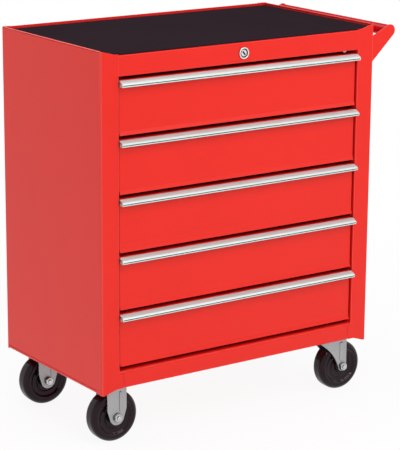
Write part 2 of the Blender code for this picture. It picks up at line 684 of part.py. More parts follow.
def drawer(number):
    """Front, pull strip, tray and two slides on a carriage that runs along Y."""
    name = f"drawer_{number}"
    carriage = add_frame(f"{name}_carriage", (X_MID, Y_FRONT + FACE_RECESS, front_top(number)))
    origin = (0, 0, 0)
    half = FRONT_WIDTH / 2
    front = add_piece(f"{name}_front", prism(f"{name}_front", front_outline(), "X", -half, half),
                      origin, RED_PAINT, carriage)
    low = -FRONT_HEIGHT + LIP_HEIGHT
    for hand, side in ((-1, "left"), (1, "right")):
        edges = sorted((hand * half, hand * (half - SHEET)))
        fuse(front, box(f"{name}_{side}_return", (edges[0], 0, low), (edges[1], FRONT_FLANGE, 0)))
    half = OPENING_WIDTH / 2 - PULL_SIDE_GAP
    add_piece(f"{name}_pull", prism(f"{name}_pull", pull_outline(), "X", -half, half),
              origin, ALUMINIUM, carriage)
    add_piece(f"{name}_tray", tray_mesh(), origin, RED_PAINT, carriage)
    web = TRAY_WIDTH / 2 + SEAT
    end = web + SLIDE_REACH
    height = RUNNER_HEIGHT - 2 * (SHEET + SLIDE_CLEARANCE)
    middle = -TRAY_TOP_DROP - RUNNER_HEIGHT / 2
    section = sheet_outline([(end, middle - height / 2), (web, middle - height / 2),
                             (web, middle + height / 2), (end, middle + height / 2)], [0, 0], SHEET)
    for hand, side in ((-1, "left"), (1, "right")):
        label = f"{name}_slide_{side}"
        add_piece(label, prism(label, mirrored(section, hand), "Y", SLIDE_FRONT, SLIDE_FRONT + SLIDE_LENGTH),
                  origin, ZINC, carriage)


def rod_end():
    """Return how far behind the stiles the crank's front face lies."""
    return BAR_FRONT - 2 * SEAT - CRANK_THICKNESS


def lock():
    """Cam lock on the top rail, its rod and crank, and the bar with a hook for each drawer."""
    place = (X_MID, Y_FRONT, Z_LOCK)
    proud = -LOCK_FLANGE_PROUD
    bore = PLUG_RADIUS + SEAT
    profile = [(bore, proud), (LOCK_FLANGE_RADIUS - LOCK_FLANGE_EDGE, proud),
               (LOCK_FLANGE_RADIUS, proud + LOCK_FLANGE_EDGE), (LOCK_FLANGE_RADIUS, -SEAT),
               (LOCK_BARREL_RADIUS, -SEAT), (LOCK_BARREL_RADIUS, LOCK_BARREL_LENGTH),
               (bore, LOCK_BARREL_LENGTH)]
    add_piece("lock_housing", turned("lock_housing", profile, "Y", TUBE_SEGMENTS), place, CHROME)
    turning = add_frame("lock_axis", place)
    face = proud + PLUG_RECESS
    plug_profile = [(0, face), (PLUG_RADIUS, face), (PLUG_RADIUS, LOCK_BARREL_LENGTH),
                    (0, LOCK_BARREL_LENGTH)]
    plug_mesh = turned("lock_plug", plug_profile, "Y", TUBE_SEGMENTS)
    plug = add_piece("lock_plug", plug_mesh, (0, 0, 0), CHROME, turning)
    turn = KEY_SLOT_TURN_DEG * pi / 180
    slot = [(KEY_SLOT_LENGTH / 2, KEY_SLOT_WIDTH / 2), (-KEY_SLOT_LENGTH / 2, KEY_SLOT_WIDTH / 2),
            (-KEY_SLOT_LENGTH / 2, -KEY_SLOT_WIDTH / 2), (KEY_SLOT_LENGTH / 2, -KEY_SLOT_WIDTH / 2)]
    slot = [(x * cos(turn) - z * sin(turn), x * sin(turn) + z * cos(turn)) for x, z in slot]
    cut(plug, prism("key_slot", slot, "Y", face - OVERRUN, face + KEY_SLOT_DEPTH))
    start = LOCK_BARREL_LENGTH + SEAT
    rod_profile = [(0, start), (ROD_DISC_RADIUS, start), (ROD_DISC_RADIUS, start + ROD_DISC_THICKNESS),
                   (ROD_RADIUS, start + ROD_DISC_THICKNESS), (ROD_RADIUS, rod_end() + CRANK_THICKNESS / 2),
                   (0, rod_end() + CRANK_THICKNESS / 2)]
    rod_mesh = turned("lock_rod", rod_profile, "Y", SMALL_SEGMENTS)
    rod = add_piece("lock_rod", rod_mesh, (0, 0, 0), STEEL, turning)
    pin = (CRANK_RADIUS * cos(CRANK_TURN), CRANK_RADIUS * sin(CRANK_TURN))
    across = (-sin(CRANK_TURN) * CRANK_WIDTH / 2, cos(CRANK_TURN) * CRANK_WIDTH / 2)
    arm = [offset((0, 0), across, -1), offset(pin, across, -1), offset(pin, across, 1),
           offset((0, 0), across, 1)]
    fuse(rod, prism("crank_hub", circle((0, 0), CRANK_WIDTH / 2 + SEAT, SMALL_SEGMENTS), "Y", rod_end(),
                    rod_end() + CRANK_THICKNESS))
    fuse(rod, prism("crank_arm", arm, "Y", rod_end(), rod_end() + CRANK_THICKNESS))
    fuse(rod, prism("crank_pin", circle(pin, CRANK_PIN_RADIUS, SMALL_SEGMENTS), "Y",
                    rod_end() + CRANK_THICKNESS / 2, BAR_FRONT + BAR_THICKNESS + CRANK_PIN_PROUD))
    lock_bar(pin)


def lock_bar(pin):
    """Bar in its raised, unlocked place; z runs up from the lock's axis."""
    frame = add_frame("lock_bar_guide_line", (X_MID, Y_FRONT, Z_LOCK))
    foot = tray_top(DRAWER_COUNT) - BAR_FOOT_DROP - Z_LOCK
    back = BAR_FRONT + BAR_THICKNESS
    mesh = box("lock_bar", (-BAR_WIDTH / 2, BAR_FRONT, foot), (BAR_WIDTH / 2, back, pin[1]))
    bar = add_piece("lock_bar", mesh, (0, 0, 0), ZINC, frame)
    fuse(bar, box("lock_bar_head", (-BAR_HEAD_WIDTH / 2, BAR_FRONT, pin[1] - BAR_HEAD_HEIGHT / 2),
                  (BAR_HEAD_WIDTH / 2, back, pin[1] + BAR_HEAD_HEIGHT / 2)))
    tooth_back = TRAY_BACK - TRAY_SHEET - HOOK_WALL_GAP
    tooth_front = tooth_back - HOOK_THICKNESS
    for number in range(1, DRAWER_COUNT + 1):
        low = tray_top(number) + HOOK_LIFT - Z_LOCK
        inner = low + HOOK_TOOTH
        top = inner + HOOK_THICKNESS
        root = BAR_FRONT + BAR_THICKNESS / 2
        hook = [(root, inner), (root, top), (tooth_front, top), (tooth_front, low), (tooth_back, low),
                (tooth_back, inner)]
        fuse(bar, prism(f"lock_hook_{number}", hook, "X", -HOOK_WIDTH / 2, HOOK_WIDTH / 2))
    play = CRANK_PIN_RADIUS + PIN_CLEARANCE
    cut(bar, box("crank_slot", (pin[0] - play, BAR_FRONT - OVERRUN, pin[1] - play),
                 (CRANK_RADIUS + play, back + OVERRUN, pin[1] + play)))


def wheel_mesh():
    """Wheel with a dished web, a hub and a rounded tread, turned about Y."""
    half = WHEEL_WIDTH / 2
    web = half - WHEEL_DISH
    bore = AXLE_RADIUS + AXLE_CLEARANCE
    side = [(bore, HUB_WIDTH / 2), (HUB_RADIUS, HUB_WIDTH / 2), (HUB_RADIUS + WHEEL_RIM_SLOPE, web),
            (WHEEL_RIM_RADIUS, web), (WHEEL_RIM_RADIUS + WHEEL_RIM_SLOPE, half)]
    corner = (WHEEL_RADIUS - WHEEL_SHOULDER, half - WHEEL_SHOULDER)
    side += arc(corner, WHEEL_SHOULDER, pi / 2, -pi / 2, ROUND_STEPS)
    profile = side + [(radius, -along) for radius, along in reversed(side)]
    return turned("wheel", profile, "Y", WHEEL_SEGMENTS)


def bolt_heads():
    """Return the middles of the four bolts of a caster plate."""
    x = PLATE_LENGTH / 2 - BOLT_INSET
    y = PLATE_WIDTH / 2 - BOLT_INSET
    return [(-x, -y), (x, -y), (x, y), (-x, y)]


def caster_plate(name, place, length):
    """Mounting plate with its four bolt heads; z runs down from the floor panel's underside."""
    top = -SEAT
    half = length / 2
    mesh = box(name, (-half, -PLATE_WIDTH / 2, top - PLATE_SHEET), (half, PLATE_WIDTH / 2, top))
    plate = add_piece(name, mesh, place, ZINC)
    for index, middle in enumerate(bolt_heads()):
        head = prism(f"{name}_bolt_{index}", hexagon(middle, BOLT_FLATS), "Z",
                     top - PLATE_SHEET - BOLT_HEAD_HEIGHT, top - PLATE_SHEET / 2)
        fuse(plate, head)
    return plate


def legs(name, outline):
    """Return both legs of a fork as prisms beside the wheel."""
    inner = FORK_GAP / 2
    return [prism(f"{name}_leg_{side}", outline, "Y", *sorted((hand * inner, hand * FORK_OUTER)))
            for hand, side in ((-1, "front"), (1, "rear"))]


def leg_ribs(name, x, low, high):
    """Return the pressed ribs on the outer faces of both legs."""
    inner = FORK_OUTER - FORK_SHEET / 2
    outer = FORK_OUTER + RIB_PROUD
    faces = [sorted((hand * inner, hand * outer)) for hand in (-1, 1)]
    corners = [((x - RIB_WIDTH / 2, near, low), (x + RIB_WIDTH / 2, far, high)) for near, far in faces]
    return boxes(f"{name}_ribs", corners)


def axle_hole(name, x, z):
    """Return the cutter for the axle bolt's holes in both legs."""
    reach = FORK_OUTER + OVERRUN
    outline = circle((x, z), AXLE_RADIUS + AXLE_CLEARANCE, SMALL_SEGMENTS)
    return prism(f"{name}_axle_hole", outline, "Y", -reach, reach)


def axle(corner, place, parent):
    """Bolt with its head behind the fork, and the nut in front; y runs back from the wheel's middle."""
    head = FORK_OUTER + SEAT
    nut = -FORK_OUTER - SEAT
    shank = prism(f"axle_bolt_{corner}", circle((0, 0), AXLE_RADIUS, SMALL_SEGMENTS), "Y",
                  nut - NUT_HEIGHT - NUT_END_PROUD, head + AXLE_HEAD_HEIGHT / 2)
    bolt = add_piece(f"axle_bolt_{corner}", shank, place, ZINC, parent)
    fuse(bolt, prism(f"axle_head_{corner}", hexagon((0, 0), NUT_FLATS), "Y", head, head + AXLE_HEAD_HEIGHT))
    mesh = prism(f"axle_nut_{corner}", hexagon((0, 0), NUT_FLATS), "Y", nut - NUT_HEIGHT, nut)
    piece = add_piece(f"axle_nut_{corner}", mesh, place, ZINC, parent)
    hole = circle((0, 0), AXLE_RADIUS + AXLE_CLEARANCE, SMALL_SEGMENTS)
    cut(piece, prism(f"nut_hole_{corner}", hole, "Y", nut - NUT_HEIGHT - OVERRUN, nut + OVERRUN))


def rigid_caster(corner, y):
    """Fixed caster: a plate and two tapered legs in one pressing, with a wheel on a bolt."""
    x = X_LEFT + RIGID_AXLE_INSET
    name = f"fork_{corner}"
    fork = caster_plate(name, (x, y, CASTER_HEIGHT), PLATE_LENGTH)
    axle_z = AXLE_Z - CASTER_HEIGHT
    half = RIGID_LEG_WIDTH / 2
    top = -SEAT - PLATE_SHEET / 2
    shoulder = (half, axle_z + RIGID_TAPER_HEIGHT)
    touch = tangent_angle(shoulder, (0, axle_z), RIGID_TIP_RADIUS, 1)
    tip = arc((0, axle_z), RIGID_TIP_RADIUS, pi - touch, pi + 2 * touch, TIP_STEPS)
    outline = [(half, top), (-half, top), (-half, shoulder[1])] + tip + [shoulder]
    for leg in legs(name, outline):
        fuse(fork, leg)
    low = axle_z + RIB_ABOVE_AXLE
    fuse(fork, leg_ribs(name, RIB_OFFSET, low, low + RIB_LENGTH))
    cut(fork, axle_hole(name, 0, axle_z))
    add_piece(f"wheel_{corner}", wheel_mesh(), (x, y, AXLE_Z), BLACK_WHEEL)
    axle(corner, (x, y, AXLE_Z), None)


def swivel_caster(corner, y):
    """Swivelling caster: a plate with its kingpin, and a trailing fork that turns about the pin."""
    pin_place = (X_RIGHT - SWIVEL_PIN_INSET, y, CASTER_HEIGHT)
    plate = caster_plate(f"plate_{corner}", pin_place, PLATE_LENGTH)
    race_low = -SEAT - PLATE_SHEET - RACE_HEIGHT
    crown_top = CROWN_HEIGHT - CASTER_HEIGHT
    crown_low = crown_top - FORK_SHEET
    profile = [(0, -SEAT - PLATE_SHEET / 2), (RACE_RADIUS, -SEAT - PLATE_SHEET / 2), (RACE_RADIUS, race_low),
               (PIN_RADIUS, race_low), (PIN_RADIUS, crown_low - SEAT), (PIN_HEAD_RADIUS, crown_low - SEAT),
               (PIN_HEAD_RADIUS, crown_low - SEAT - PIN_HEAD_HEIGHT), (0, crown_low - SEAT - PIN_HEAD_HEIGHT)]
    fuse(plate, turned(f"kingpin_{corner}", profile, "Z", TUBE_SEGMENTS))
    swivel = add_frame(f"swivel_{corner}", pin_place)
    name = f"fork_{corner}"
    axle_x = SWIVEL_TRAIL
    axle_z = AXLE_Z - CASTER_HEIGHT
    right = axle_x + SWIVEL_TIP_RADIUS
    left = -SWIVEL_CROWN_REACH
    crown = box(name, (left, -FORK_OUTER, crown_low), (right, FORK_OUTER, crown_top))
    fork = add_piece(name, crown, (0, 0, 0), ZINC, swivel)
    race = [(0, crown_top - FORK_SHEET / 2), (RACE_RADIUS, crown_top - FORK_SHEET / 2),
            (RACE_RADIUS, race_low - RACE_GAP), (0, race_low - RACE_GAP)]
    fuse(fork, turned(f"{name}_race", race, "Z", TUBE_SEGMENTS))
    tip = arc((axle_x, axle_z), SWIVEL_TIP_RADIUS, pi, pi, TIP_STEPS)
    sweep = (left + SWEEP_OUT, crown_low - SWEEP_RISE)
    outline = [(right, crown_top), (left, crown_top), (left, crown_low), sweep] + tip
    for leg in legs(name, outline):
        fuse(fork, leg)
    low = axle_z + RIB_ABOVE_AXLE
    fuse(fork, leg_ribs(name, axle_x, low, low + RIB_LENGTH))
    cut(fork, axle_hole(name, axle_x, axle_z))
    hole = circle((0, 0), PIN_RADIUS + AXLE_CLEARANCE, TUBE_SEGMENTS)
    cut(fork, prism(f"{name}_pin_hole", hole, "Z", crown_low - OVERRUN, race_low + OVERRUN))
    place = (axle_x, 0, axle_z)
    add_piece(f"wheel_{corner}", wheel_mesh(), place, BLACK_WHEEL, swivel)
    axle(corner, place, swivel)


def clear_scene():
    """Take every object out of the scene."""
    for item in list(bpy.data.objects):
        bpy.data.objects.remove(item, do_unlink=True)


def build_cart():
    """Build every piece of the cart in its place."""
    clear_scene()
    side_panel("side_panel_left", (X_LEFT, Y_FRONT, Z_BASE), 1)
    side_panel("side_panel_right", (X_RIGHT, Y_FRONT, Z_BASE), -1)
    back_panel()
    top_panel()
    bottom_panel()
    top_rail()
    bottom_rail()
    top_mat()
    slide_frame("slide_frame_left", (X_LEFT, Y_FRONT, Z_BASE), 1)
    slide_frame("slide_frame_right", (X_RIGHT, Y_FRONT, Z_BASE), -1)
    push_handle()
    lock()
    for number in range(1, DRAWER_COUNT + 1):
        drawer(number)
    for end, y in (("front", Y_FRONT + AXLE_INSET_Y), ("rear", Y_BACK - AXLE_INSET_Y)):
        rigid_caster(f"{end}_left", y)
        swivel_caster(f"{end}_right", y)


build_cart()
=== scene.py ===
"""Looks of a red rolling tool cart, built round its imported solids.

Metres, +Z up. The drawers open towards -Y and the push handle is on the +X side. Every piece is drawn
in the cart's own frame, at rest, and rides on the body that carries it.
"""

import json
import logging
from collections.abc import Iterable, Mapping, Sequence
from dataclasses import dataclass
from enum import Enum
from math import acos, atan2, cos, hypot, pi, radians, sin, tan
from typing import Any, Self

import bmesh
import bpy
from mathutils import Matrix, Vector

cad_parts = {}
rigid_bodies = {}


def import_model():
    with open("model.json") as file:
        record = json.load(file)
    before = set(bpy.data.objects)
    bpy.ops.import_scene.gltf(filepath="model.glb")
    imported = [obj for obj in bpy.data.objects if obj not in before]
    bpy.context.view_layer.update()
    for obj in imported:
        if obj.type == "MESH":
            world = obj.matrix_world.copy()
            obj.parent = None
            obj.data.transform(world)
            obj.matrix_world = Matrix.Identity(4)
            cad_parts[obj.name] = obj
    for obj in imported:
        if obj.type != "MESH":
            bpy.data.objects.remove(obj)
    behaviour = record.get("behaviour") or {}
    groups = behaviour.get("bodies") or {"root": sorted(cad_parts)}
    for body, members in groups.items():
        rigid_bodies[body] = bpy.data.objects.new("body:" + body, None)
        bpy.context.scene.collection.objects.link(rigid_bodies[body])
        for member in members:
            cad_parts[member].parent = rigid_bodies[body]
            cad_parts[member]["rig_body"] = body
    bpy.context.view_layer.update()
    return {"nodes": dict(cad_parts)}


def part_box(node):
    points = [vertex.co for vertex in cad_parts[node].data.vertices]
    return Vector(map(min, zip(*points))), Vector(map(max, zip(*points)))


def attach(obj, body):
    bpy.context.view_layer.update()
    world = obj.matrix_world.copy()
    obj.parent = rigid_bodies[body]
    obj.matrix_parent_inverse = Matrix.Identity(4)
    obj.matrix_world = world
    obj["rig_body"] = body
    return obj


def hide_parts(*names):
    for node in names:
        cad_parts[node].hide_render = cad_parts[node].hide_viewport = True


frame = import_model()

LOG = logging.getLogger("tool_cart")
Mesh = bpy.types.Mesh
Point = tuple[float, float]
Corner = tuple[float, float, float]
Outline = list[Point]
Colour = tuple[float, float, float, float]

SHEET = 0.0012  # steel of the cabinet
SEAT = 0.0003  # gap between pieces that touch
OVERRUN = 0.003  # how far a cutter passes a face
SLIVER = 0.00002  # corners of a worked solid closer than this are one
PACKED_SLIVER = SEAT / 10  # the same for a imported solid
FLAT_TURN = 0.4  # degrees below which the faces of a worked solid are one
PACKED_FLAT_TURN = 0.5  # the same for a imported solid
SOFT_TURN = 35.0  # degrees above which an edge is rounded
SHARP_TURN = 46.0  # degrees above which an edge isn't shaded smoothly
EDGE_TURNS = (0.02, 0.20)  # turn of the rounded normal where an edge's mask starts and is full
SOFT_EDGE = 0.0003  # usual width of a rounded edge
SMALL_EDGE = 0.0002  # the same on a small piece
WHOLE = 1.2  # share of half its flats beyond which a hexagon keeps its corners
DOME_SUNK = 0.2  # share of a dome's height that its foot is sunk by
BEND_STEPS = 8  # chords in a bend
EDGE_STEPS = 5  # chords in the rounding of an edge
RIM_STEPS = 3  # chords in the rounded rim of a solid
SMALL_STEPS = 4  # chords in a small corner
SHOULDER_STEPS = 10  # chords in the shoulder of a tyre
FINE_SEGMENTS = 96  # chords round a wheel, a tube or a nut
SMALL_SEGMENTS = 32  # chords round a rivet, a bolt or a hole
HEX_SIDES = 6  # flats of a nut or of a bolt's head


class Axis(Enum):
    """Direction that an outline is drawn across and drawn out along."""

    X = "X"
    Y = "Y"
    Z = "Z"

    def point(self, first: float, second: float, along: float) -> Vector:
        """Place a point of an outline.

        Args:
            first: Its first place across the axis.
            second: Its second place across the axis.
            along: Its place along the axis.

        Returns:
            The point in the cart's frame.
        """
        if self is Axis.X:
            return Vector((along, first, second))
        if self is Axis.Y:
            return Vector((first, along, second))
        return Vector((first, second, along))


class Join(Enum):
    """Ways to work one solid with another."""

    FUSE = "UNION"
    CUT = "DIFFERENCE"


class Hand(Enum):
    """Side of the cart, as the sign of the way inward from that side's skin."""

    LEFT = 1
    RIGHT = -1


class Slot(Enum):
    """Finishes of the record that the pieces take theirs from."""

    FRONT = "front_red"
    CABINET = "cabinet_red"
    HANDLE = "handle_red"
    MAT = "mat_black"
    PULL = "pull_aluminium"
    TRAY = "tray_red"
    LOCK = "lock_chrome"
    LOCK_STEEL = "lock_zinc"
    CASTER = "caster_zinc"
    BOLT = "bolt_zinc"
    WHEEL = "wheel_black"


# Outlines


def sweep(turn: float, steps: int) -> list[float]:
    """Return the angles of so many equal steps of a turn, from 0 to the turn itself."""
    return [turn * step / steps for step in range(steps + 1)]


def arc(centre: Point, radius: float, start: float, turn: float, steps: int) -> Outline:
    """Return the points of an arc, both ends among them, from its first angle and its turn in radians."""
    angles = [start + angle for angle in sweep(turn, steps)]
    return [(centre[0] + radius * cos(a), centre[1] + radius * sin(a)) for a in angles]


def circle(radius: float, segments: int, centre: Point = (0.0, 0.0)) -> Outline:
    """Return a round outline of so many chords, with each point once."""
    return arc(centre, radius, 0.0, 2 * pi, segments)[:-1]


def eased(corners: Sequence[Corner], steps: int = BEND_STEPS, loop: bool = True) -> Outline:
    """Round the corners of an outline.

    Args:
        corners: Places across an axis, each with the radius of its corner.
        steps: Chords in each rounded corner.
        loop: Whether the outline meets itself.

    Returns:
        The points of the rounded outline.
    """
    points: Outline = []
    last = len(corners) - 1
    for index, (first, second, radius) in enumerate(corners):
        if radius <= 0 or (not loop and index in (0, last)):
            points.append((first, second))
            continue
        here = Vector((first, second))
        before = (Vector(corners[index - 1][:2]) - here).normalized()
        after = (Vector(corners[(index + 1) % (last + 1)][:2]) - here).normalized()
        half = before.angle(after) / 2
        centre = here + (before + after).normalized() * (radius / sin(half))
        start = here + before * (radius / tan(half)) - centre
        end = here + after * (radius / tan(half)) - centre
        start_angle = atan2(start.y, start.x)
        turn = (atan2(end.y, end.x) - start_angle + pi) % (2 * pi) - pi
        points.extend(arc((centre.x, centre.y), radius, start_angle, turn, steps))
    return points


def rectangle(low: Sequence[float], high: Sequence[float], radius: float = 0.0,
              steps: int = BEND_STEPS) -> Outline:
    """Return a rectangle between two corners, rounded to a radius in so many chords."""
    corners = ((low[0], low[1]), (high[0], low[1]), (high[0], high[1]), (low[0], high[1]))
    return eased([(*corner, radius) for corner in corners], steps)


def shifted(points: Outline, distance: float, loop: bool = True) -> Outline:
    """Move a line sideways, to its right.

    Args:
        points: The line.
        distance: How far it moves.
        loop: Whether the line meets itself.

    Returns:
        The moved line, with its corners mitred.
    """
    line: Outline = []
    last = len(points) - 1
    for index, point in enumerate(points):
        here = Vector(point)
        before = here - Vector(points[index - 1])
        after = Vector(points[(index + 1) % (last + 1)]) - here
        if not loop and index == 0:
            before = after
        if not loop and index == last:
            after = before
        first = Vector((before.y, -before.x)).normalized()
        second = Vector((after.y, -after.x)).normalized()
        mitre = (first + second) / (1 + first.dot(second))
        line.append(tuple(here + mitre * distance))
    return line


def drawn_in(points: Outline, distance: float) -> Outline:
    """Return an outline made smaller all round.

    Args:
        points: The outline.
        distance: How far its edge moves in.

    Returns:
        The smaller outline, with as many points.
    """
    ends = zip(points, points[1:] + points[:1])
    area = sum(a[0] * b[1] - b[0] * a[1] for a, b in ends)
    return shifted(points, -distance if area > 0 else distance)


def folded(corners: Sequence[Corner]) -> Outline:
    """Return the closed section of a folded sheet, which lies on the right of its outer face's line."""
    outer = eased(corners, loop=False)
    return outer + shifted(outer, SHEET, loop=False)[::-1]


def mirrored(points: Iterable[Point], hand: Hand) -> Outline:
    """Return an outline whose first places run inward from the skin of one side."""
    return [(hand.value * first, second) for first, second in points]


def touch_angle(point: Point, centre: Point, radius: float, side: int) -> float:
    """Find where a line from a point touches a circle.

    Args:
        point: Start of the line.
        centre: Middle of the circle.
        radius: Radius of the circle.
        side: 1 or -1, for the side of the circle that the line touches.

    Returns:
        The angle of the touching point, seen from the circle's middle.
    """
    away = atan2(point[1] - centre[1], point[0] - centre[0])
    reach = hypot(point[0] - centre[0], point[1] - centre[1])
    return away - side * acos(radius / reach)


# Solids


def skin(rings: Sequence[Sequence[Vector]], loop: bool = False) -> Mesh:
    """Stretch a closed skin over rings of points.

    Args:
        rings: Rings with the same number of points.
        loop: Whether the last ring meets the first; the end rings are filled otherwise.

    Returns:
        The mesh, with its faces pointing out.
    """
    bm = bmesh.new()
    rows = [[bm.verts.new(point) for point in ring] for ring in rings]
    pairs = list(zip(rows, rows[1:]))
    if loop:
        pairs.append((rows[-1], rows[0]))
    else:
        bm.faces.new(rows[0][::-1])
        bm.faces.new(rows[-1])
    for low, high in pairs:
        for index in range(len(low)):
            following = (index + 1) % len(low)
            bm.faces.new((low[index], low[following], high[following], high[index]))
    bmesh.ops.recalc_face_normals(bm, faces=bm.faces)
    mesh = bpy.data.meshes.new("skin")
    bm.to_mesh(mesh)
    bm.free()
    mesh.shade_smooth()
    return mesh


def stepped(outline: Outline, axis: Axis, levels: Sequence[Point]) -> Mesh:
    """Draw an outline out along an axis, in or out at each level.

    Args:
        outline: The outline, across the axis.
        axis: The axis.
        levels: Place along the axis and distance drawn in, from one end to the other.

    Returns:
        The mesh.
    """
    rings = []
    for along, distance in levels:
        ring = drawn_in(outline, distance) if distance else outline
        rings.append([axis.point(first, second, along) for first, second in ring])
    return skin(rings)


def rim(end: float, edge: float, turn: float = pi / 2, steps: int = RIM_STEPS) -> list[Point]:
    """Return levels that round over the end of a solid: places along its axis and distances drawn in."""
    return [(end - edge * (1 - sin(a)), edge * (1 - cos(a))) for a in sweep(turn, steps)]


def prism(outline: Outline, axis: Axis, start: float, end: float, edge: float = 0.0) -> Mesh:
    """Draw an outline out along an axis.

    Args:
        outline: The outline, across the axis.
        axis: The axis.
        start: One end along the axis.
        end: The other end.
        edge: Radius of the rounded rim of both ends.

    Returns:
        The mesh.
    """
    low, high = sorted((start, end))
    if not edge:
        return stepped(outline, axis, [(low, 0.0), (high, 0.0)])
    foot = [(-along, inward) for along, inward in reversed(rim(-low, edge))]
    return stepped(outline, axis, foot + rim(high, edge))


def block(low: Sequence[float], high: Sequence[float]) -> Mesh:
    """Return a mesh of a box between two corners."""
    return prism(rectangle(low, high), Axis.Z, low[2], high[2])


def side_block(hand: Hand, across: Point, along: Point, upright: Point) -> Mesh:
    """Return a mesh of a box from its ends on X, counted inward from one side, on Y and on Z."""
    inward = (hand.value * across[0], hand.value * across[1])
    return block(*zip(*(sorted(ends) for ends in (inward, along, upright))))


def turned(profile: Sequence[Point], axis: Axis, centre: Vector, segments: int = FINE_SEGMENTS,
           loop: bool = False) -> Mesh:
    """Turn a profile, given as radii and places along the axis, about an axis through a centre."""
    rings = [[centre + axis.point(*point, along) for point in circle(radius, segments)]
             for radius, along in profile]
    return skin(rings, loop)


def dome(axis: Axis, centre: Vector, radius: float, height: float) -> Mesh:
    """Return a low round dome whose foot is a little sunk.

    Args:
        axis: Axis of the dome.
        centre: Middle of its foot.
        radius: Radius of its foot.
        height: Its height along the axis, below zero for a dome that faces back.

    Returns:
        The mesh.
    """
    profile = [(radius, -height * DOME_SUNK)]
    profile += [(radius * cos(a), height * sin(a)) for a in sweep(pi / 2, EDGE_STEPS)[:-1]]
    return turned(profile, axis, centre, SMALL_SEGMENTS)


def worked(base: Mesh, tool: Mesh, join: Join) -> Mesh:
    """Fuse or cut one solid with another.

    Args:
        base: The solid that is worked.
        tool: The solid that works it.
        join: What is done.

    Returns:
        The mesh that is left.
    """
    body = bpy.data.objects.new("worked", base)
    helper = bpy.data.objects.new("worked_tool", tool)
    for item in (body, helper):
        bpy.context.scene.collection.objects.link(item)
    step = body.modifiers.new("work", "BOOLEAN")
    step.operation = join.value
    step.solver = "EXACT"
    step.object = helper
    graph = bpy.context.evaluated_depsgraph_get()
    result = bpy.data.meshes.new_from_object(body.evaluated_get(graph))
    bpy.data.objects.remove(body)
    bpy.data.objects.remove(helper)
    bm = bmesh.new()
    bm.from_mesh(result)
    bmesh.ops.remove_doubles(bm, verts=bm.verts, dist=SLIVER)
    bmesh.ops.dissolve_limit(bm, angle_limit=radians(FLAT_TURN), verts=bm.verts, edges=bm.edges)
    bm.to_mesh(result)
    bm.free()
    result.shade_smooth()
    return result


def gathered(meshes: Iterable[Mesh]) -> Mesh:
    """Gather solids in one mesh.

    Args:
        meshes: The solids, whose own meshes are removed.

    Returns:
        The mesh of them all.
    """
    bm = bmesh.new()
    for mesh in meshes:
        bm.from_mesh(mesh)
        bpy.data.meshes.remove(mesh)
    mesh = bpy.data.meshes.new("gathered")
    bm.to_mesh(mesh)
    bm.free()
    mesh.shade_smooth()
    return mesh


def moved(mesh: Mesh, offset: Sequence[float]) -> Mesh:
    """Copy a mesh and move the copy.

    Args:
        mesh: The mesh.
        offset: How far the copy moves on X, Y and Z.

    Returns:
        The moved copy.
    """
    copy = mesh.copy()
    copy.transform(Matrix.Translation(offset))
    return copy


# Shader maths


@dataclass(frozen=True)
class Wire:
    """One output of a shader node, used like a number in a sum."""

    net: "Net"
    socket: bpy.types.NodeSocket

    def __add__(self, other: "Value") -> "Wire":
        """Add a value."""
        return self.net.math("ADD", self, other)

    def __radd__(self, other: "Value") -> "Wire":
        """Add this to a value."""
        return self.net.math("ADD", other, self)

    def __sub__(self, other: "Value") -> "Wire":
        """Take a value away."""
        return self.net.math("SUBTRACT", self, other)

    def __rsub__(self, other: "Value") -> "Wire":
        """Take this away from a value."""
        return self.net.math("SUBTRACT", other, self)

    def __mul__(self, other: "Value") -> "Wire":
        """Multiply by a value."""
        return self.net.math("MULTIPLY", self, other)

    def __rmul__(self, other: "Value") -> "Wire":
        """Multiply a value by this."""
        return self.net.math("MULTIPLY", other, self)


Value = Wire | float


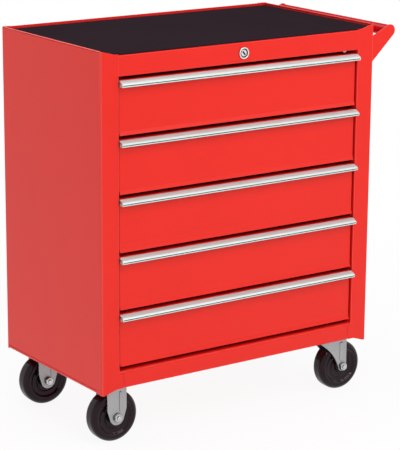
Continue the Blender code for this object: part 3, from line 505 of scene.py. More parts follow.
class Net:
    """The nodes of one material or of the world."""

    def __init__(self, tree: bpy.types.NodeTree) -> None:
        """Start with no nodes."""
        tree.nodes.clear()
        self.tree = tree

    def node(self, kind: str, settings: Mapping[str, Any] | None = None,
             sockets: Mapping[str | int, Any] | None = None) -> bpy.types.Node:
        """Add a node.

        Args:
            kind: Type of the node.
            settings: Its settings.
            sockets: Value or wire of each socket.

        Returns:
            The node.
        """
        made = self.tree.nodes.new(kind)
        for name, setting in (settings or {}).items():
            setattr(made, name, setting)
        for name, value in (sockets or {}).items():
            if isinstance(value, Wire):
                self.tree.links.new(value.socket, made.inputs[name])
            else:
                made.inputs[name].default_value = value
        return made

    def wire(self, node: bpy.types.Node, output: str | int = 0) -> Wire:
        """Return one output of a node."""
        return Wire(self, node.outputs[output])

    def math(self, operation: str, *values: Value) -> Wire:
        """Work out a number."""
        return self.wire(self.node("ShaderNodeMath", {"operation": operation}, dict(enumerate(values))))

    def vector(self, operation: str, first: Wire, second: Any = None, output: str = "Vector") -> Wire:
        """Work out a vector, or a number from vectors, by an operation on one or two vectors."""
        sockets = {0: first} if second is None else {0: first, 1: second}
        return self.wire(self.node("ShaderNodeVectorMath", {"operation": operation}, sockets), output)

    def place(self) -> Wire:
        """Return the place on the piece, in metres."""
        return self.wire(self.node("ShaderNodeTexCoord"), "Object")

    def place_around(self) -> Wire:
        """Return the direction in which the surround is seen."""
        return self.wire(self.node("ShaderNodeTexCoord"), "Generated")

    def noise(self, place: Wire, scale: float, detail: float = 2.0, roughness: float = 0.5) -> Wire:
        """Return noise between 0 and 1, of so many grains to the metre and so many finer layers."""
        return self.wire(self.node("ShaderNodeTexNoise", None, {
            "Vector": place, "Scale": scale, "Detail": detail, "Roughness": roughness}))

    def cells(self, place: Wire, scale: float) -> Wire:
        """Return the distance to the middle of the nearest cell, for so many cells to the metre."""
        return self.wire(self.node("ShaderNodeTexVoronoi", None, {"Vector": place, "Scale": scale}))

    def eased(self, value: Wire, low: float, high: float) -> Wire:
        """Return 0 below low, 1 above high and a soft step between."""
        return self.wire(self.node("ShaderNodeMapRange", {"interpolation_type": "SMOOTHSTEP"}, {
            "Value": value, "From Min": low, "From Max": high}))

    def blend(self, share: Value, first: Wire | Colour, second: Wire | Colour) -> Wire:
        """Blend two colours by the share of the second."""
        made = self.node("ShaderNodeMix", {"data_type": "RGBA"}, {0: share, 6: first, 7: second})
        return self.wire(made, 2)

    def edges(self, width: float) -> Wire:
        """Mask the edges of a piece.

        Args:
            width: How far from an edge the mask reaches.

        Returns:
            1 along the edges and 0 on the faces.
        """
        rounded = self.wire(self.node("ShaderNodeBevel", {"samples": 4}, {"Radius": width}))
        face = self.wire(self.node("ShaderNodeNewGeometry"), "Normal")
        return self.eased(1.0 - self.vector("DOT_PRODUCT", rounded, face, "Value"), *EDGE_TURNS)

    def openness(self, reach: float) -> Wire:
        """Return 0 deep in a gap to 1 on a free face, counting neighbours within reach."""
        return self.wire(self.node("ShaderNodeAmbientOcclusion", {"samples": 6}, {"Distance": reach}), "AO")

    def bends(self) -> tuple[Wire, Wire]:
        """Mask the places where a face turns between two planes.

        Returns:
            1 in the bends that leave X and 0 on flat faces, then the same for the bends about X.
        """
        normal = self.wire(self.node("ShaderNodeNewGeometry"), "Normal")
        parts = self.node("ShaderNodeSeparateXYZ", None, {0: self.vector("ABSOLUTE", normal)})
        x, y, z = (self.wire(parts, name) for name in "XYZ")
        return x * (y + z) * 2.0, y * z * 2.0

    def relief(self, height: Wire, depth: float, strength: float) -> Wire:
        """Turn a height from 0 to 1 into a normal, for a depth in metres and a share of the relief."""
        return self.wire(self.node("ShaderNodeBump", None, {
            "Height": height, "Distance": depth, "Strength": strength}))

    def surface(self, colour: Wire, roughness: Wire, normal: Wire, **constants: Any) -> Wire:
        """Return the surface shader.

        Args:
            colour: Its colour.
            roughness: Its roughness.
            normal: Its normal.
            constants: Values that are the same all over, by the socket's name with underscores.

        Returns:
            The shader.
        """
        sockets = {name.replace("_", " "): value for name, value in constants.items()}
        sockets |= {"Base Color": colour, "Roughness": roughness, "Normal": normal}
        return self.wire(self.node("ShaderNodeBsdfPrincipled", None, sockets))


# Finishes


@dataclass(frozen=True)
class Finish:
    """A finish that is mixed once and then shared by its pieces.

    In the finishes a scale is in grains to the metre, a relief is a depth and the share of it that is
    used, a pair named open, patches or tread, or the ramp of a bend's painted highlight, is where a soft
    step starts and ends, sheen is the least roughness, and a value named dull is what a pattern adds to it.
    """

    name: str

    def material(self) -> bpy.types.Material:
        """Make the finish's material, at its first use.

        Returns:
            The material.
        """
        found = bpy.data.materials.get(self.name)
        if found:
            return found
        made = bpy.data.materials.new(self.name)
        made.use_nodes = True
        net = Net(made.node_tree)
        net.node("ShaderNodeOutputMaterial", None, {"Surface": self.paint(net)})
        return made

    def paint(self, net: Net) -> Wire:
        """Add the finish's nodes and return its shader."""
        raise NotImplementedError


@dataclass(frozen=True)
class PowderCoat(Finish):
    """Baked powder paint with a fine orange peel and edges that have rubbed paler."""

    deep: Colour = (0.860, 0.0100, 0.0050, 1.0)
    light: Colour = (0.920, 0.0140, 0.0070, 1.0)
    rubbed: Colour = (0.950, 0.1000, 0.0750, 1.0)
    # Painted highlight: the pale colour that the bends take, as if they caught a lamp.
    bend_highlight: Colour = (0.950, 0.0800, 0.0620, 1.0)
    # Painted shade: a dim crimson for gaps, and next the near black deep inside them.
    shaded: Colour = (0.820, 0.0035, 0.0150, 1.0)
    painted_dark_shade: Colour = (0.050, 0.0003, 0.0008, 1.0)
    tint: Colour = (1.0, 0.92, 0.80, 1.0)
    sheen: float = 0.30
    gloss: float = 0.42
    relief: Point = (0.00006, 0.5)
    speck_share: float = 0.25
    crevice: float = 0.009
    cloud_scale: float = 7.0
    peel_scale: float = 520.0
    speck_scale: float = 2400.0
    worn_scale: float = 38.0
    cloud_dull: float = 0.05
    speck_dull: float = 0.05
    worn_dull: float = 0.12
    crevice_dull: float = 0.30
    # Where the painted highlight on bends starts and is full, and how much of it shows; level bends count
    # for less.
    bend_highlight_ramp: Point = (0.30, 1.10)
    bend_highlight_share: float = 0.85
    level_share: float = 0.24
    worn_width: float = 0.0011
    worn_share: float = 0.55
    worn_patches: Point = (0.36, 0.66)
    # Where the painted shade turns from near black to crimson, and from crimson to the paint's own colour.
    dark_shade_open: Point = (0.02, 0.30)
    shaded_open: Point = (0.24, 0.62)

    def paint(self, net: Net) -> Wire:
        """Add the paint's nodes.

        Args:
            net: The nodes to add to.

        Returns:
            The shader.
        """
        place = net.place()
        cloud = net.noise(place, self.cloud_scale, detail=3.0)
        peel = net.noise(place, self.peel_scale, detail=2.0, roughness=0.4)
        speck = net.noise(place, self.speck_scale, detail=1.0)
        patches = net.eased(net.noise(place, self.worn_scale, detail=5.0), *self.worn_patches)
        worn = net.edges(self.worn_width) * patches
        colour = net.blend(cloud, self.deep, self.light)
        colour = net.blend(worn * self.worn_share, colour, self.rubbed)
        # Painted highlight along the bends, strongest on upright bends and weaker on level ones.
        upright, level = net.bends()
        highlight_share = net.eased(upright + level * self.level_share, *self.bend_highlight_ramp)
        colour = net.blend(highlight_share * self.bend_highlight_share, colour, self.bend_highlight)
        # Painted shade in gaps and crevices, by how open each spot is.
        open_share = net.openness(self.crevice)
        dim = net.blend(net.eased(open_share, *self.dark_shade_open), self.painted_dark_shade, self.shaded)
        colour = net.blend(net.eased(open_share, *self.shaded_open), dim, colour)
        roughness = self.sheen + cloud * self.cloud_dull + speck * self.speck_dull + worn * self.worn_dull
        roughness = roughness + (1.0 - open_share) * self.crevice_dull
        return net.surface(colour, roughness, net.relief(peel + speck * self.speck_share, *self.relief),
                           Specular_IOR_Level=self.gloss, Specular_Tint=self.tint)


@dataclass(frozen=True)
class DrawnAluminium(Finish):
    """Bright aluminium section with fine drawing lines along it, and painted shade in its groove and
    crevices.
    """

    dull: Colour = (0.66, 0.82, 0.79, 1.0)
    bright: Colour = (0.80, 0.965, 0.94, 1.0)
    pale_edge: Colour = (0.93, 0.94, 0.94, 1.0)
    # Painted shade in the groove and other crevices.
    crevice_shade: Colour = (0.040, 0.048, 0.040, 1.0)
    line_scales: Corner = (5.0, 2100.0, 2100.0)
    relief: Point = (0.00004, 0.5)
    pale_edge_width: float = 0.0006
    knock_patches: Point = (0.50, 0.64)
    crevice_shade_reach: float = 0.0030
    crevice_shade_open: Point = (0.42, 0.90)
    cloud_scale: float = 11.0
    knock_scale: float = 60.0
    line_share: float = 0.6
    pale_edge_share: float = 0.6
    sheen: float = 0.36
    line_dull: float = 0.14
    cloud_dull: float = 0.08
    metal: float = 0.55
    gloss: float = 0.4

    def paint(self, net: Net) -> Wire:
        """Add the metal's nodes.

        Args:
            net: The nodes to add to.

        Returns:
            The shader.
        """
        place = net.place()
        lines = net.noise(net.vector("MULTIPLY", place, self.line_scales), 1.0, detail=3.0)
        cloud = net.noise(place, self.cloud_scale, detail=3.0)
        patches = net.eased(net.noise(place, self.knock_scale, detail=3.0), *self.knock_patches)
        pale_edge = net.edges(self.pale_edge_width) * patches
        streaks = lines * self.line_share + cloud * (1.0 - self.line_share)
        colour = net.blend(streaks, self.dull, self.bright)
        colour = net.blend(pale_edge * self.pale_edge_share, colour, self.pale_edge)
        # Painted shade in the groove and crevices, by how open each spot is.
        free = net.eased(net.openness(self.crevice_shade_reach), *self.crevice_shade_open)
        roughness = self.sheen + lines * self.line_dull + cloud * self.cloud_dull
        return net.surface(net.blend(free, self.crevice_shade, colour), roughness, net.relief(lines, *self.relief),
                           Metallic=self.metal, Specular_IOR_Level=self.gloss)


@dataclass(frozen=True)
class ZincPlate(Finish):
    """Zinc-plated steel with a faint spangle and pressing marks, a painted highlight on its edges and
    painted shade in crevices.
    """

    dull: Colour = (0.36, 0.36, 0.37, 1.0)
    bright: Colour = (0.50, 0.50, 0.50, 1.0)
    sheen: float = 0.36
    metal: float = 0.85
    # Painted shade in crevices, such as round the ribs and the nuts.
    crevice_shade: Colour = (0.035, 0.033, 0.034, 1.0)
    crevice_shade_reach: float = 0.0045
    crevice_shade_open: Point = (0.30, 0.90)
    # Painted highlight on every edge of the plating.
    pale_edge: Colour = (0.80, 0.80, 0.80, 1.0)
    pale_edge_width: float = 0.0010
    pale_edge_share: float = 0.45
    relief: Point = (0.00005, 0.45)
    spangle_depth: float = 0.5
    cloud_scale: float = 34.0
    spangle_scale: float = 260.0
    grain_scale: float = 1500.0
    cloud_share: float = 0.7
    cloud_dull: float = 0.12
    grain_dull: float = 0.06
    knock_bright: float = 0.08

    def paint(self, net: Net) -> Wire:
        """Add the plating's nodes.

        Args:
            net: The nodes to add to.

        Returns:
            The shader.
        """
        place = net.place()
        cloud = net.noise(place, self.cloud_scale, detail=4.0)
        spangle = net.cells(place, self.spangle_scale)
        grain = net.noise(place, self.grain_scale, detail=2.0)
        # Painted highlight along all edges.
        edge = net.edges(self.pale_edge_width)
        mottled = cloud * self.cloud_share + spangle * (1.0 - self.cloud_share)
        colour = net.blend(mottled, self.dull, self.bright)
        colour = net.blend(edge * self.pale_edge_share, colour, self.pale_edge)
        # Painted shade in crevices, by how open each spot is.
        free = net.eased(net.openness(self.crevice_shade_reach), *self.crevice_shade_open)
        roughness = self.sheen + cloud * self.cloud_dull + grain * self.grain_dull
        roughness = roughness - edge * self.knock_bright
        return net.surface(net.blend(free, self.crevice_shade, colour), roughness,
                           net.relief(grain + spangle * self.spangle_depth, *self.relief),
                           Metallic=self.metal)


@dataclass(frozen=True)
class Chrome(Finish):
    """Polished chrome plate with faint wiping marks and painted shade in its recesses."""

    dull: Colour = (0.60, 0.60, 0.62, 1.0)
    bright: Colour = (0.86, 0.86, 0.85, 1.0)
    # Painted shade in the recess round the plug and in the key slot.
    painted_dark_shade: Colour = (0.010, 0.009, 0.009, 1.0)
    dark_shade_reach: float = 0.0040
    dark_shade_open: Point = (0.30, 0.85)
    mark_scales: Corner = (900.0, 300.0, 3000.0)
    relief: Point = (0.00001, 0.4)
    haze_scale: float = 160.0
    sheen: float = 0.07
    haze_dull: float = 0.09
    mark_dull: float = 0.03

    def paint(self, net: Net) -> Wire:
        """Add the plating's nodes.

        Args:
            net: The nodes to add to.

        Returns:
            The shader.
        """
        place = net.place()
        haze = net.noise(place, self.haze_scale, detail=3.0)
        marks = net.noise(net.vector("MULTIPLY", place, self.mark_scales), 1.0, detail=2.0)
        # Painted shade in recesses, by how open each spot is.
        free = net.eased(net.openness(self.dark_shade_reach), *self.dark_shade_open)
        colour = net.blend(free, self.painted_dark_shade, net.blend(haze, self.dull, self.bright))
        roughness = self.sheen + haze * self.haze_dull + marks * self.mark_dull
        return net.surface(colour, roughness, net.relief(marks, *self.relief), Metallic=1.0)


@dataclass(frozen=True)
class PebbledRubber(Finish):
    """Black rubber sheet with a fine pebble and dust in its grain."""

    deep: Colour = (0.0225, 0.0140, 0.0185, 1.0)
    light: Colour = (0.0285, 0.0185, 0.0235, 1.0)
    dusty: Colour = (0.050, 0.038, 0.043, 1.0)
    dust_patches: Point = (0.52, 0.80)
    dust_share: float = 0.20
    relief: Point = (0.00022, 0.6)
    cloud_scale: float = 6.0
    dust_scale: float = 120.0
    pebble_scale: float = 620.0
    sheen: float = 0.70
    cloud_dull: float = 0.15

    def paint(self, net: Net) -> Wire:
        """Add the rubber's nodes.

        Args:
            net: The nodes to add to.

        Returns:
            The shader.
        """
        place = net.place()
        cloud = net.noise(place, self.cloud_scale, detail=4.0)
        dust = net.eased(net.noise(place, self.dust_scale, detail=6.0, roughness=0.7), *self.dust_patches)
        colour = net.blend(dust * self.dust_share, net.blend(cloud, self.deep, self.light), self.dusty)
        pebble = net.relief(net.cells(place, self.pebble_scale), *self.relief)
        return net.surface(colour, self.sheen + cloud * self.cloud_dull, pebble, Specular_IOR_Level=0.0)


@dataclass(frozen=True)
class MouldedTyre(Finish):
    """Black moulded wheel with turned rings on its faces and a dusty tread."""

    deep: Colour = (0.0095, 0.0044, 0.0064, 1.0)
    light: Colour = (0.0140, 0.0070, 0.0094, 1.0)
    dusty: Colour = (0.050, 0.038, 0.042, 1.0)
    tint: Colour = (0.62, 0.50, 0.55, 1.0)
    gloss: float = 0.36
    tread: Point = (0.0465, 0.0500)
    dust_patches: Point = (0.40, 0.70)
    dust_share: float = 0.06
    ring_scale: float = 1600.0
    cloud_scale: float = 45.0
    grain_scale: float = 1900.0
    relief: Point = (0.00003, 0.30)
    ring_share: float = 0.4
    grain_share: float = 0.3
    sheen: float = 0.07
    cloud_dull: float = 0.04
    grain_dull: float = 0.02
    dust_dull: float = 0.08

    def paint(self, net: Net) -> Wire:
        """Add the moulding's nodes.

        Args:
            net: The nodes to add to.

        Returns:
            The shader.
        """
        place = net.place()
        radius = net.vector("LENGTH", net.vector("MULTIPLY", place, (1.0, 0.0, 1.0)), output="Value")
        rings = net.wire(net.node("ShaderNodeTexNoise", {"noise_dimensions": "1D"}, {
            "W": radius, "Scale": self.ring_scale, "Detail": 2.0}))
        cloud = net.noise(place, self.cloud_scale, detail=4.0)
        grain = net.noise(place, self.grain_scale, detail=2.0)
        dust = net.eased(radius, *self.tread) * net.eased(cloud, *self.dust_patches)
        colour = net.blend(dust * self.dust_share, net.blend(cloud, self.deep, self.light), self.dusty)
        roughness = self.sheen + cloud * self.cloud_dull + grain * self.grain_dull + dust * self.dust_dull
        height = rings * self.ring_share + grain * self.grain_share
        return net.surface(colour, roughness, net.relief(height, *self.relief),
                           Specular_IOR_Level=self.gloss, Specular_Tint=self.tint)


@dataclass(frozen=True)
class StudioPaper(Finish):
    """Pale paper that keeps a soft shadow and fades into the white surround."""

    pale: Colour = (0.95, 0.95, 0.95, 1.0)
    share: float = 0.92
    fade: Point = (0.7, 1.6)

    def paint(self, net: Net) -> Wire:
        """Add the paper's nodes.

        Args:
            net: The nodes to add to.

        Returns:
            The shader.
        """
        lit = net.wire(net.node("ShaderNodeBsdfDiffuse", None, {"Color": self.pale}))
        white = net.wire(net.node("ShaderNodeEmission"))
        away = net.eased(net.vector("LENGTH", net.place(), output="Value"), *self.fade)
        share = seen_directly(net) * (self.share + away * (1.0 - self.share))
        return net.wire(net.node("ShaderNodeMixShader", None, {0: share, 1: lit, 2: white}))


def seen_directly(net: Net) -> Wire:
    """Tell rays that look at a surface from those that only light the others.

    Args:
        net: The nodes to add to.

    Returns:
        1 for rays of the camera, of gloss and of clear glass, and 0 for others.
    """
    path = net.node("ShaderNodeLightPath")
    looks = [net.wire(path, f"Is {kind} Ray") for kind in ("Camera", "Glossy", "Transmission")]
    return net.math("MAXIMUM", net.math("MAXIMUM", looks[0], looks[1]), looks[2])


RED = PowderCoat("red_powder_coat")
# The tube's red is a darker copy of the body's red, painted shade; its bend colour is a painted pinkish
# reflection band along the tube.
TUBE_RED = PowderCoat("tube_powder_coat", (0.52, 0.0040, 0.0120, 1.0), (0.58, 0.0050, 0.0140, 1.0),
                      bend_highlight=(0.56, 0.1400, 0.1100, 1.0), sheen=0.50, gloss=0.05, bend_highlight_ramp=(0.80, 1.10))
ALUMINIUM = DrawnAluminium("drawn_aluminium")
ZINC = ZincPlate("zinc_plate")
SLIDE_ZINC = ZincPlate("slide_zinc_plate", (0.40, 0.40, 0.41, 1.0), (0.60, 0.60, 0.60, 1.0), 0.26, 0.95)
# The bolts take a wider, stronger painted shade round their heads and nuts.
BOLT_ZINC = ZincPlate("bolt_zinc_plate", (0.40, 0.40, 0.41, 1.0), (0.82, 0.82, 0.82, 1.0), 0.10, 1.0,
                       crevice_shade_reach=0.0060, crevice_shade_open=(0.42, 1.02))
CHROME = Chrome("polished_chrome")
RUBBER = PebbledRubber("pebbled_rubber")
TYRE = MouldedTyre("moulded_tyre")
PAPER = StudioPaper("studio_paper")


# Pieces


def even_shading(piece: bpy.types.Object) -> None:
    """Shade a piece smoothly between its sharp edges, led by its larger faces.

    Args:
        piece: The piece.
    """
    smooth = piece.modifiers.new("smooth_faces", "NODES")
    smooth.node_group = smooth_group()
    step = piece.modifiers.new("even_shading", "WEIGHTED_NORMAL")
    step.weight = 100
    step.keep_sharp = True


def soften(piece: bpy.types.Object, width: float) -> None:
    """Round the sharp edges of a piece.

    Args:
        piece: The piece.
        width: Width of the rounding.
    """
    step = piece.modifiers.new("soft_edges", "BEVEL")
    step.width = width
    step.segments = 2
    step.limit_method = "ANGLE"
    step.angle_limit = radians(SOFT_TURN)


def add_piece(name: str, mesh: Mesh, finish: Finish, nodes: Sequence[str],
              edge: float = 0.0, stands: bool = True, centre: Vector | None = None) -> None:
    """Put a mesh in the scene as a piece that rides on the body of its nodes.

    Args:
        name: Name of the piece.
        mesh: Its mesh, in the cart's frame or round its own centre.
        finish: Its finish.
        nodes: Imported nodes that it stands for, or one that it sits on.
        edge: Width of its softened edges.
        stands: Whether it stands for the nodes.
        centre: Its own centre, if its mesh is drawn round one.
    """
    mesh.name = name
    mesh.materials.clear()
    mesh.materials.append(finish.material())
    piece = bpy.data.objects.new(name, mesh)
    bpy.context.scene.collection.objects.link(piece)
    if centre is not None:
        piece.location = centre
    if edge:
        soften(piece, edge)
    even_shading(piece)
    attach(piece, frame["nodes"][nodes[0]]["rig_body"])
    if stands:
        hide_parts(*nodes)
    LOG.info("built %s", name)


def smooth_group() -> bpy.types.NodeTree:
    """Make the step that shades faces smoothly but keeps sharp edges, at its first use.

    Returns:
        The step.
    """
    found = bpy.data.node_groups.get("smooth_faces")
    if found:
        return found
    group = bpy.data.node_groups.new("smooth_faces", "GeometryNodeTree")
    for way in ("INPUT", "OUTPUT"):
        group.interface.new_socket("Geometry", in_out=way, socket_type="NodeSocketGeometry")
    nodes = {name: group.nodes.new(kind) for name, kind in (
        ("start", "NodeGroupInput"), ("faces", "GeometryNodeSetShadeSmooth"),
        ("edges", "GeometryNodeSetShadeSmooth"), ("angle", "GeometryNodeInputMeshEdgeAngle"),
        ("limit", "ShaderNodeMath"), ("end", "NodeGroupOutput"))}
    nodes["edges"].domain = "EDGE"
    nodes["edges"].inputs["Shade Smooth"].default_value = False
    nodes["limit"].operation = "GREATER_THAN"
    nodes["limit"].inputs[1].default_value = radians(SHARP_TURN)
    for source, output, target, socket in (
            ("start", 0, "faces", "Geometry"), ("faces", 0, "edges", "Geometry"),
            ("angle", 0, "limit", 0), ("limit", 0, "edges", "Selection"), ("edges", 0, "end", 0)):
        group.links.new(nodes[source].outputs[output], nodes[target].inputs[socket])
    return group


def dress(name: str, finish: Finish, edge: float = SOFT_EDGE) -> None:
    """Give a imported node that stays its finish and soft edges.

    Args:
        name: Name of the node.
        finish: Its finish.
        edge: Width of its softened edges.
    """
    node = frame["nodes"][name]
    node.data.materials.clear()
    node.data.materials.append(finish.material())
    weld = node.modifiers.new("weld", "WELD")
    weld.merge_threshold = PACKED_SLIVER
    flat = node.modifiers.new("whole_faces", "DECIMATE")
    flat.decimate_type = "DISSOLVE"
    flat.angle_limit = radians(PACKED_FLAT_TURN)
    soften(node, edge)
    even_shading(node)
    LOG.info("dressed %s", name)


@dataclass(frozen=True)
class Datum:
    """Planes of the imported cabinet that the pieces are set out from."""

    left: float
    right: float
    front: float
    back: float
    base: float
    top: float

    @classmethod
    def of_cart(cls) -> Self:
        """Read the planes from the side panels.

        Returns:
            The planes.
        """
        low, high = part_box("side_panel_left")
        _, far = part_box("side_panel_right")
        return cls(low.x, far.x, low.y, high.y, low.z, high.z)

    @property
    def middle(self) -> float:
        """Return the plane halfway between the sides."""
        return (self.left + self.right) / 2

    @property
    def height(self) -> float:
        """Return the height of the cabinet's sides."""
        return self.top - self.base

    def side(self, hand: Hand) -> float:
        """Return the plane of one side's skin."""
        return self.left if hand is Hand.LEFT else self.right


@dataclass(frozen=True)
class Cabinet:
    """Welded sheet-steel shell: sides with their stiles, rails, back, top tray and floor.

    A slope runs between two distances from the skin of a side. The catch's shares give the widths of
    its foot and of its strap, and the welds' shares are places along the rim.
    """

    datum: Datum
    stile: float = 0.038
    stile_return: float = 0.016
    rear_flange: float = 0.018
    corner_bend: float = 0.0036
    stile_bend: float = 0.0022
    head_slope: Point = (0.003, 0.037)
    foot_slope: Point = (0.006, 0.030)
    slope_bend: float = 0.016
    sheet_edge: float = 0.0004
    drop: float = 0.009
    rise: float = 0.008
    tab: float = 0.008
    tab_bends: Point = (0.003, 0.001)
    tab_gap: float = 0.0006
    top_rail_height: float = 0.0383
    top_rail_flange: float = 0.014
    rail_set_back: float = SEAT / 4
    rail_bend: float = 0.0022
    rail_lap: float = 0.55
    sill_height: float = 0.0335
    sill_round: float = 0.0055
    sill_shelf: float = 0.016
    sill_flange: float = 0.012
    foot_bend: float = 0.0034
    foot_flange: float = 0.012
    fold_line: float = 0.0009
    fold_rise: float = 0.0020
    head_bend: float = 0.0018
    head_flange: float = 0.0040
    lock_radius: float = 0.0095
    catch_inset: float = 0.030
    catch_set_back: float = 0.0035
    catch_width: float = 0.009
    catch_drop: float = 0.0024
    catch_bend: float = 0.0007
    catch_depth: float = 0.008
    catch_shares: Point = (0.7, 0.8)
    side_welds: Sequence[float] = (0.11, 0.37, 0.63, 0.89)
    back_welds: Sequence[float] = (0.07, 0.285, 0.5, 0.715, 0.93)
    weld_drop: float = 0.0021
    weld_radius: float = 0.0017
    weld_height: float = 0.0004
    rivet_count: int = 6
    rivet_inset: float = 0.045
    rivet_radius: float = 0.0032
    rivet_height: float = 0.0012
    rivet_pin: Sequence[Point] = ((0.0011, 0.0008), (0.0009, 0.0015))

    def build(self) -> None:
        """Build the shell and dress the nodes that stay."""
        for hand, side in ((Hand.LEFT, "left"), (Hand.RIGHT, "right")):
            self.side_panel(side, hand)
        self.top_rail()
        self.sill()
        for name in ("back_panel", "top_panel", "bottom_panel"):
            dress(name, RED)
        for side in ("left", "right"):
            dress(f"slide_frame_{side}", SLIDE_ZINC)
        self.rim_welds()
        self.rivets()

    def side_panel(self, side: str, hand: Hand) -> None:
        """Build one side with its stile in front and its flange behind.

        Args:
            side: Name of the side.
            hand: The side.
        """
        datum = self.datum
        depth = datum.back - datum.front
        section = folded([(self.stile, self.stile_return, 0.0), (self.stile, 0.0, self.stile_bend),
                          (0.0, 0.0, self.corner_bend), (0.0, depth, self.corner_bend),
                          (self.rear_flange, depth, 0.0)])
        panel = prism(mirrored(section, hand), Axis.Z, -OVERRUN, datum.height + OVERRUN)
        inner = self.stile + OVERRUN
        back = self.stile_return + OVERRUN
        for level, step, beyond, (start, end), bend in (
                (datum.height, -self.drop, OVERRUN, self.head_slope, 0.0),
                (0.0, self.rise, -OVERRUN, self.foot_slope, self.slope_bend)):
            far = level + 2 * beyond
            slope = eased([(-OVERRUN, far, 0.0), (-OVERRUN, level, 0.0), (start, level, bend),
                           (end, level + step, bend), (inner, level + step, 0.0), (inner, far, 0.0)])
            panel = worked(panel, prism(mirrored(slope, hand), Axis.Y, -OVERRUN, back), Join.CUT)
            rest = side_block(hand, (-OVERRUN, inner), (back - SHEET, depth + OVERRUN), (level, far))
            panel = worked(panel, rest, Join.CUT)
        tab_top = self.rise + self.sill_height - self.sill_round
        start = self.stile - self.stile_bend
        notch = rectangle((start, -OVERRUN), (inner, tab_top))
        panel = worked(panel, prism(mirrored(notch, hand), Axis.Y, -OVERRUN, back), Join.CUT)
        end = self.stile + self.tab
        low_bend, high_bend = self.tab_bends
        tab = eased([(start, self.rise, 0.0), (end, self.rise, low_bend), (end, tab_top, high_bend),
                     (start, tab_top, 0.0)])
        panel = worked(panel, prism(mirrored(tab, hand), Axis.Y, 0.0, SHEET), Join.FUSE)
        panel = self.folded_edges(panel, hand, depth)
        panel.transform(Matrix.Translation((datum.side(hand), datum.front, datum.base)))
        add_piece(f"side_sheet_{side}", panel, RED, [f"side_panel_{side}"],
                  self.sheet_edge)

    def folded_edges(self, panel: Mesh, hand: Hand, depth: float) -> Mesh:
        """Turn the bottom and the top edge of one side inward, and press a line above the lower fold.

        Args:
            panel: The side, drawn from its own front corner.
            hand: The side.
            depth: Depth of the side.

        Returns:
            The side with its folded edges.
        """
        across = (-OVERRUN, SHEET * 2)
        start = self.stile_return + OVERRUN
        end = depth - self.corner_bend * 2
        bend = self.foot_bend
        panel = worked(panel, side_block(hand, across, (start, end), (-OVERRUN, bend)), Join.CUT)
        foot = folded([(self.foot_flange, 0.0, 0.0), (0.0, 0.0, bend), (0.0, bend, 0.0)])
        panel = worked(panel, prism(mirrored(foot, hand), Axis.Y, start, end), Join.FUSE)
        line = bend + self.fold_rise
        sunk = self.fold_line
        groove = side_block(hand, (-OVERRUN, sunk), (start, end), (line, line + 2 * sunk))
        panel = worked(panel, groove, Join.CUT)
        top = self.datum.height
        bend = self.head_bend
        start = self.corner_bend * 2
        panel = worked(panel, side_block(hand, across, (start, end), (top - bend, top + OVERRUN)), Join.CUT)
        head = folded([(0.0, top - bend, 0.0), (0.0, top, bend), (self.head_flange, top, 0.0)])
        return worked(panel, prism(mirrored(head, hand), Axis.Y, start, end), Join.FUSE)

    @property
    def clear_half(self) -> float:
        """Return half the width between the stiles."""
        return (self.datum.right - self.datum.left) / 2 - self.stile

    @property
    def rail_half(self) -> float:
        """Return half the length of a rail, whose ends lap over the bends of the stiles."""
        return self.clear_half + self.stile_bend * self.rail_lap

    def rail(self, corners: Sequence[Corner]) -> Mesh:
        """Return a rail between the stiles, folded along the line of its outer face."""
        return prism(folded(corners), Axis.X, -self.rail_half, self.rail_half)

    def top_rail(self) -> None:
        """Build the channel above the drawers, with the hole for the lock."""
        datum = self.datum
        height = self.top_rail_height
        low = datum.top - self.drop - height
        rail = self.rail([(self.top_rail_flange, 0.0, 0.0), (0.0, 0.0, self.rail_bend),
                          (0.0, height, self.rail_bend), (self.top_rail_flange, height, 0.0)])
        rail.transform(Matrix.Translation((datum.middle, datum.front + self.rail_set_back, low)))
        lock_low, lock_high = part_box("lock_housing")
        hole = circle(self.lock_radius, SMALL_SEGMENTS, (datum.middle, (lock_low.z + lock_high.z) / 2))
        rail = worked(rail, prism(hole, Axis.Y, datum.front - OVERRUN, datum.front + OVERRUN), Join.CUT)
        add_piece("head_rail", rail, RED, ["top_rail"], SOFT_EDGE)
        self.catch(low)

    def catch(self, level: float) -> None:
        """Add the small bright catch that hangs under the head rail, near its right end.

        Args:
            level: Height of the rail's lower face.
        """
        x = self.datum.middle + self.clear_half - self.catch_inset
        y = self.datum.front + self.catch_set_back
        half = self.catch_width / 2
        foot, strap = (half * share for share in self.catch_shares)
        low = level - self.catch_drop
        outline = eased([(x - half, level + SEAT, 0.0), (x - foot, low, self.catch_bend),
                         (x + foot, low, self.catch_bend), (x + half, level + SEAT, 0.0)], SMALL_STEPS)
        tab = prism(outline, Axis.Y, y, y + SHEET)
        back = block((x - strap, y + SHEET / 2, level - SHEET / 2),
                     (x + strap, y + self.catch_depth, level + SEAT))
        add_piece("head_catch", worked(tab, back, Join.FUSE), BOLT_ZINC, ["top_rail"],
                  SMALL_EDGE, stands=False)

    def sill(self) -> None:
        """Build the rail under the drawers, rounded over and notched for the tabs."""
        datum = self.datum
        height = self.sill_height
        rail = self.rail([(self.sill_flange, 0.0, 0.0), (0.0, 0.0, self.rail_bend),
                          (0.0, height, self.sill_round), (self.sill_shelf, height, 0.0)])
        for hand in Hand:
            notch = side_block(hand, (self.clear_half - self.tab - self.tab_gap, self.rail_half + OVERRUN),
                               (-OVERRUN, self.sill_flange + OVERRUN),
                               (-OVERRUN, height - self.sill_round + SEAT))
            rail = worked(rail, notch, Join.CUT)
        front = datum.front + self.rail_set_back
        rail.transform(Matrix.Translation((datum.middle, front, datum.base + self.rise)))
        add_piece("sill_rail", rail, RED, ["bottom_rail"], SOFT_EDGE)

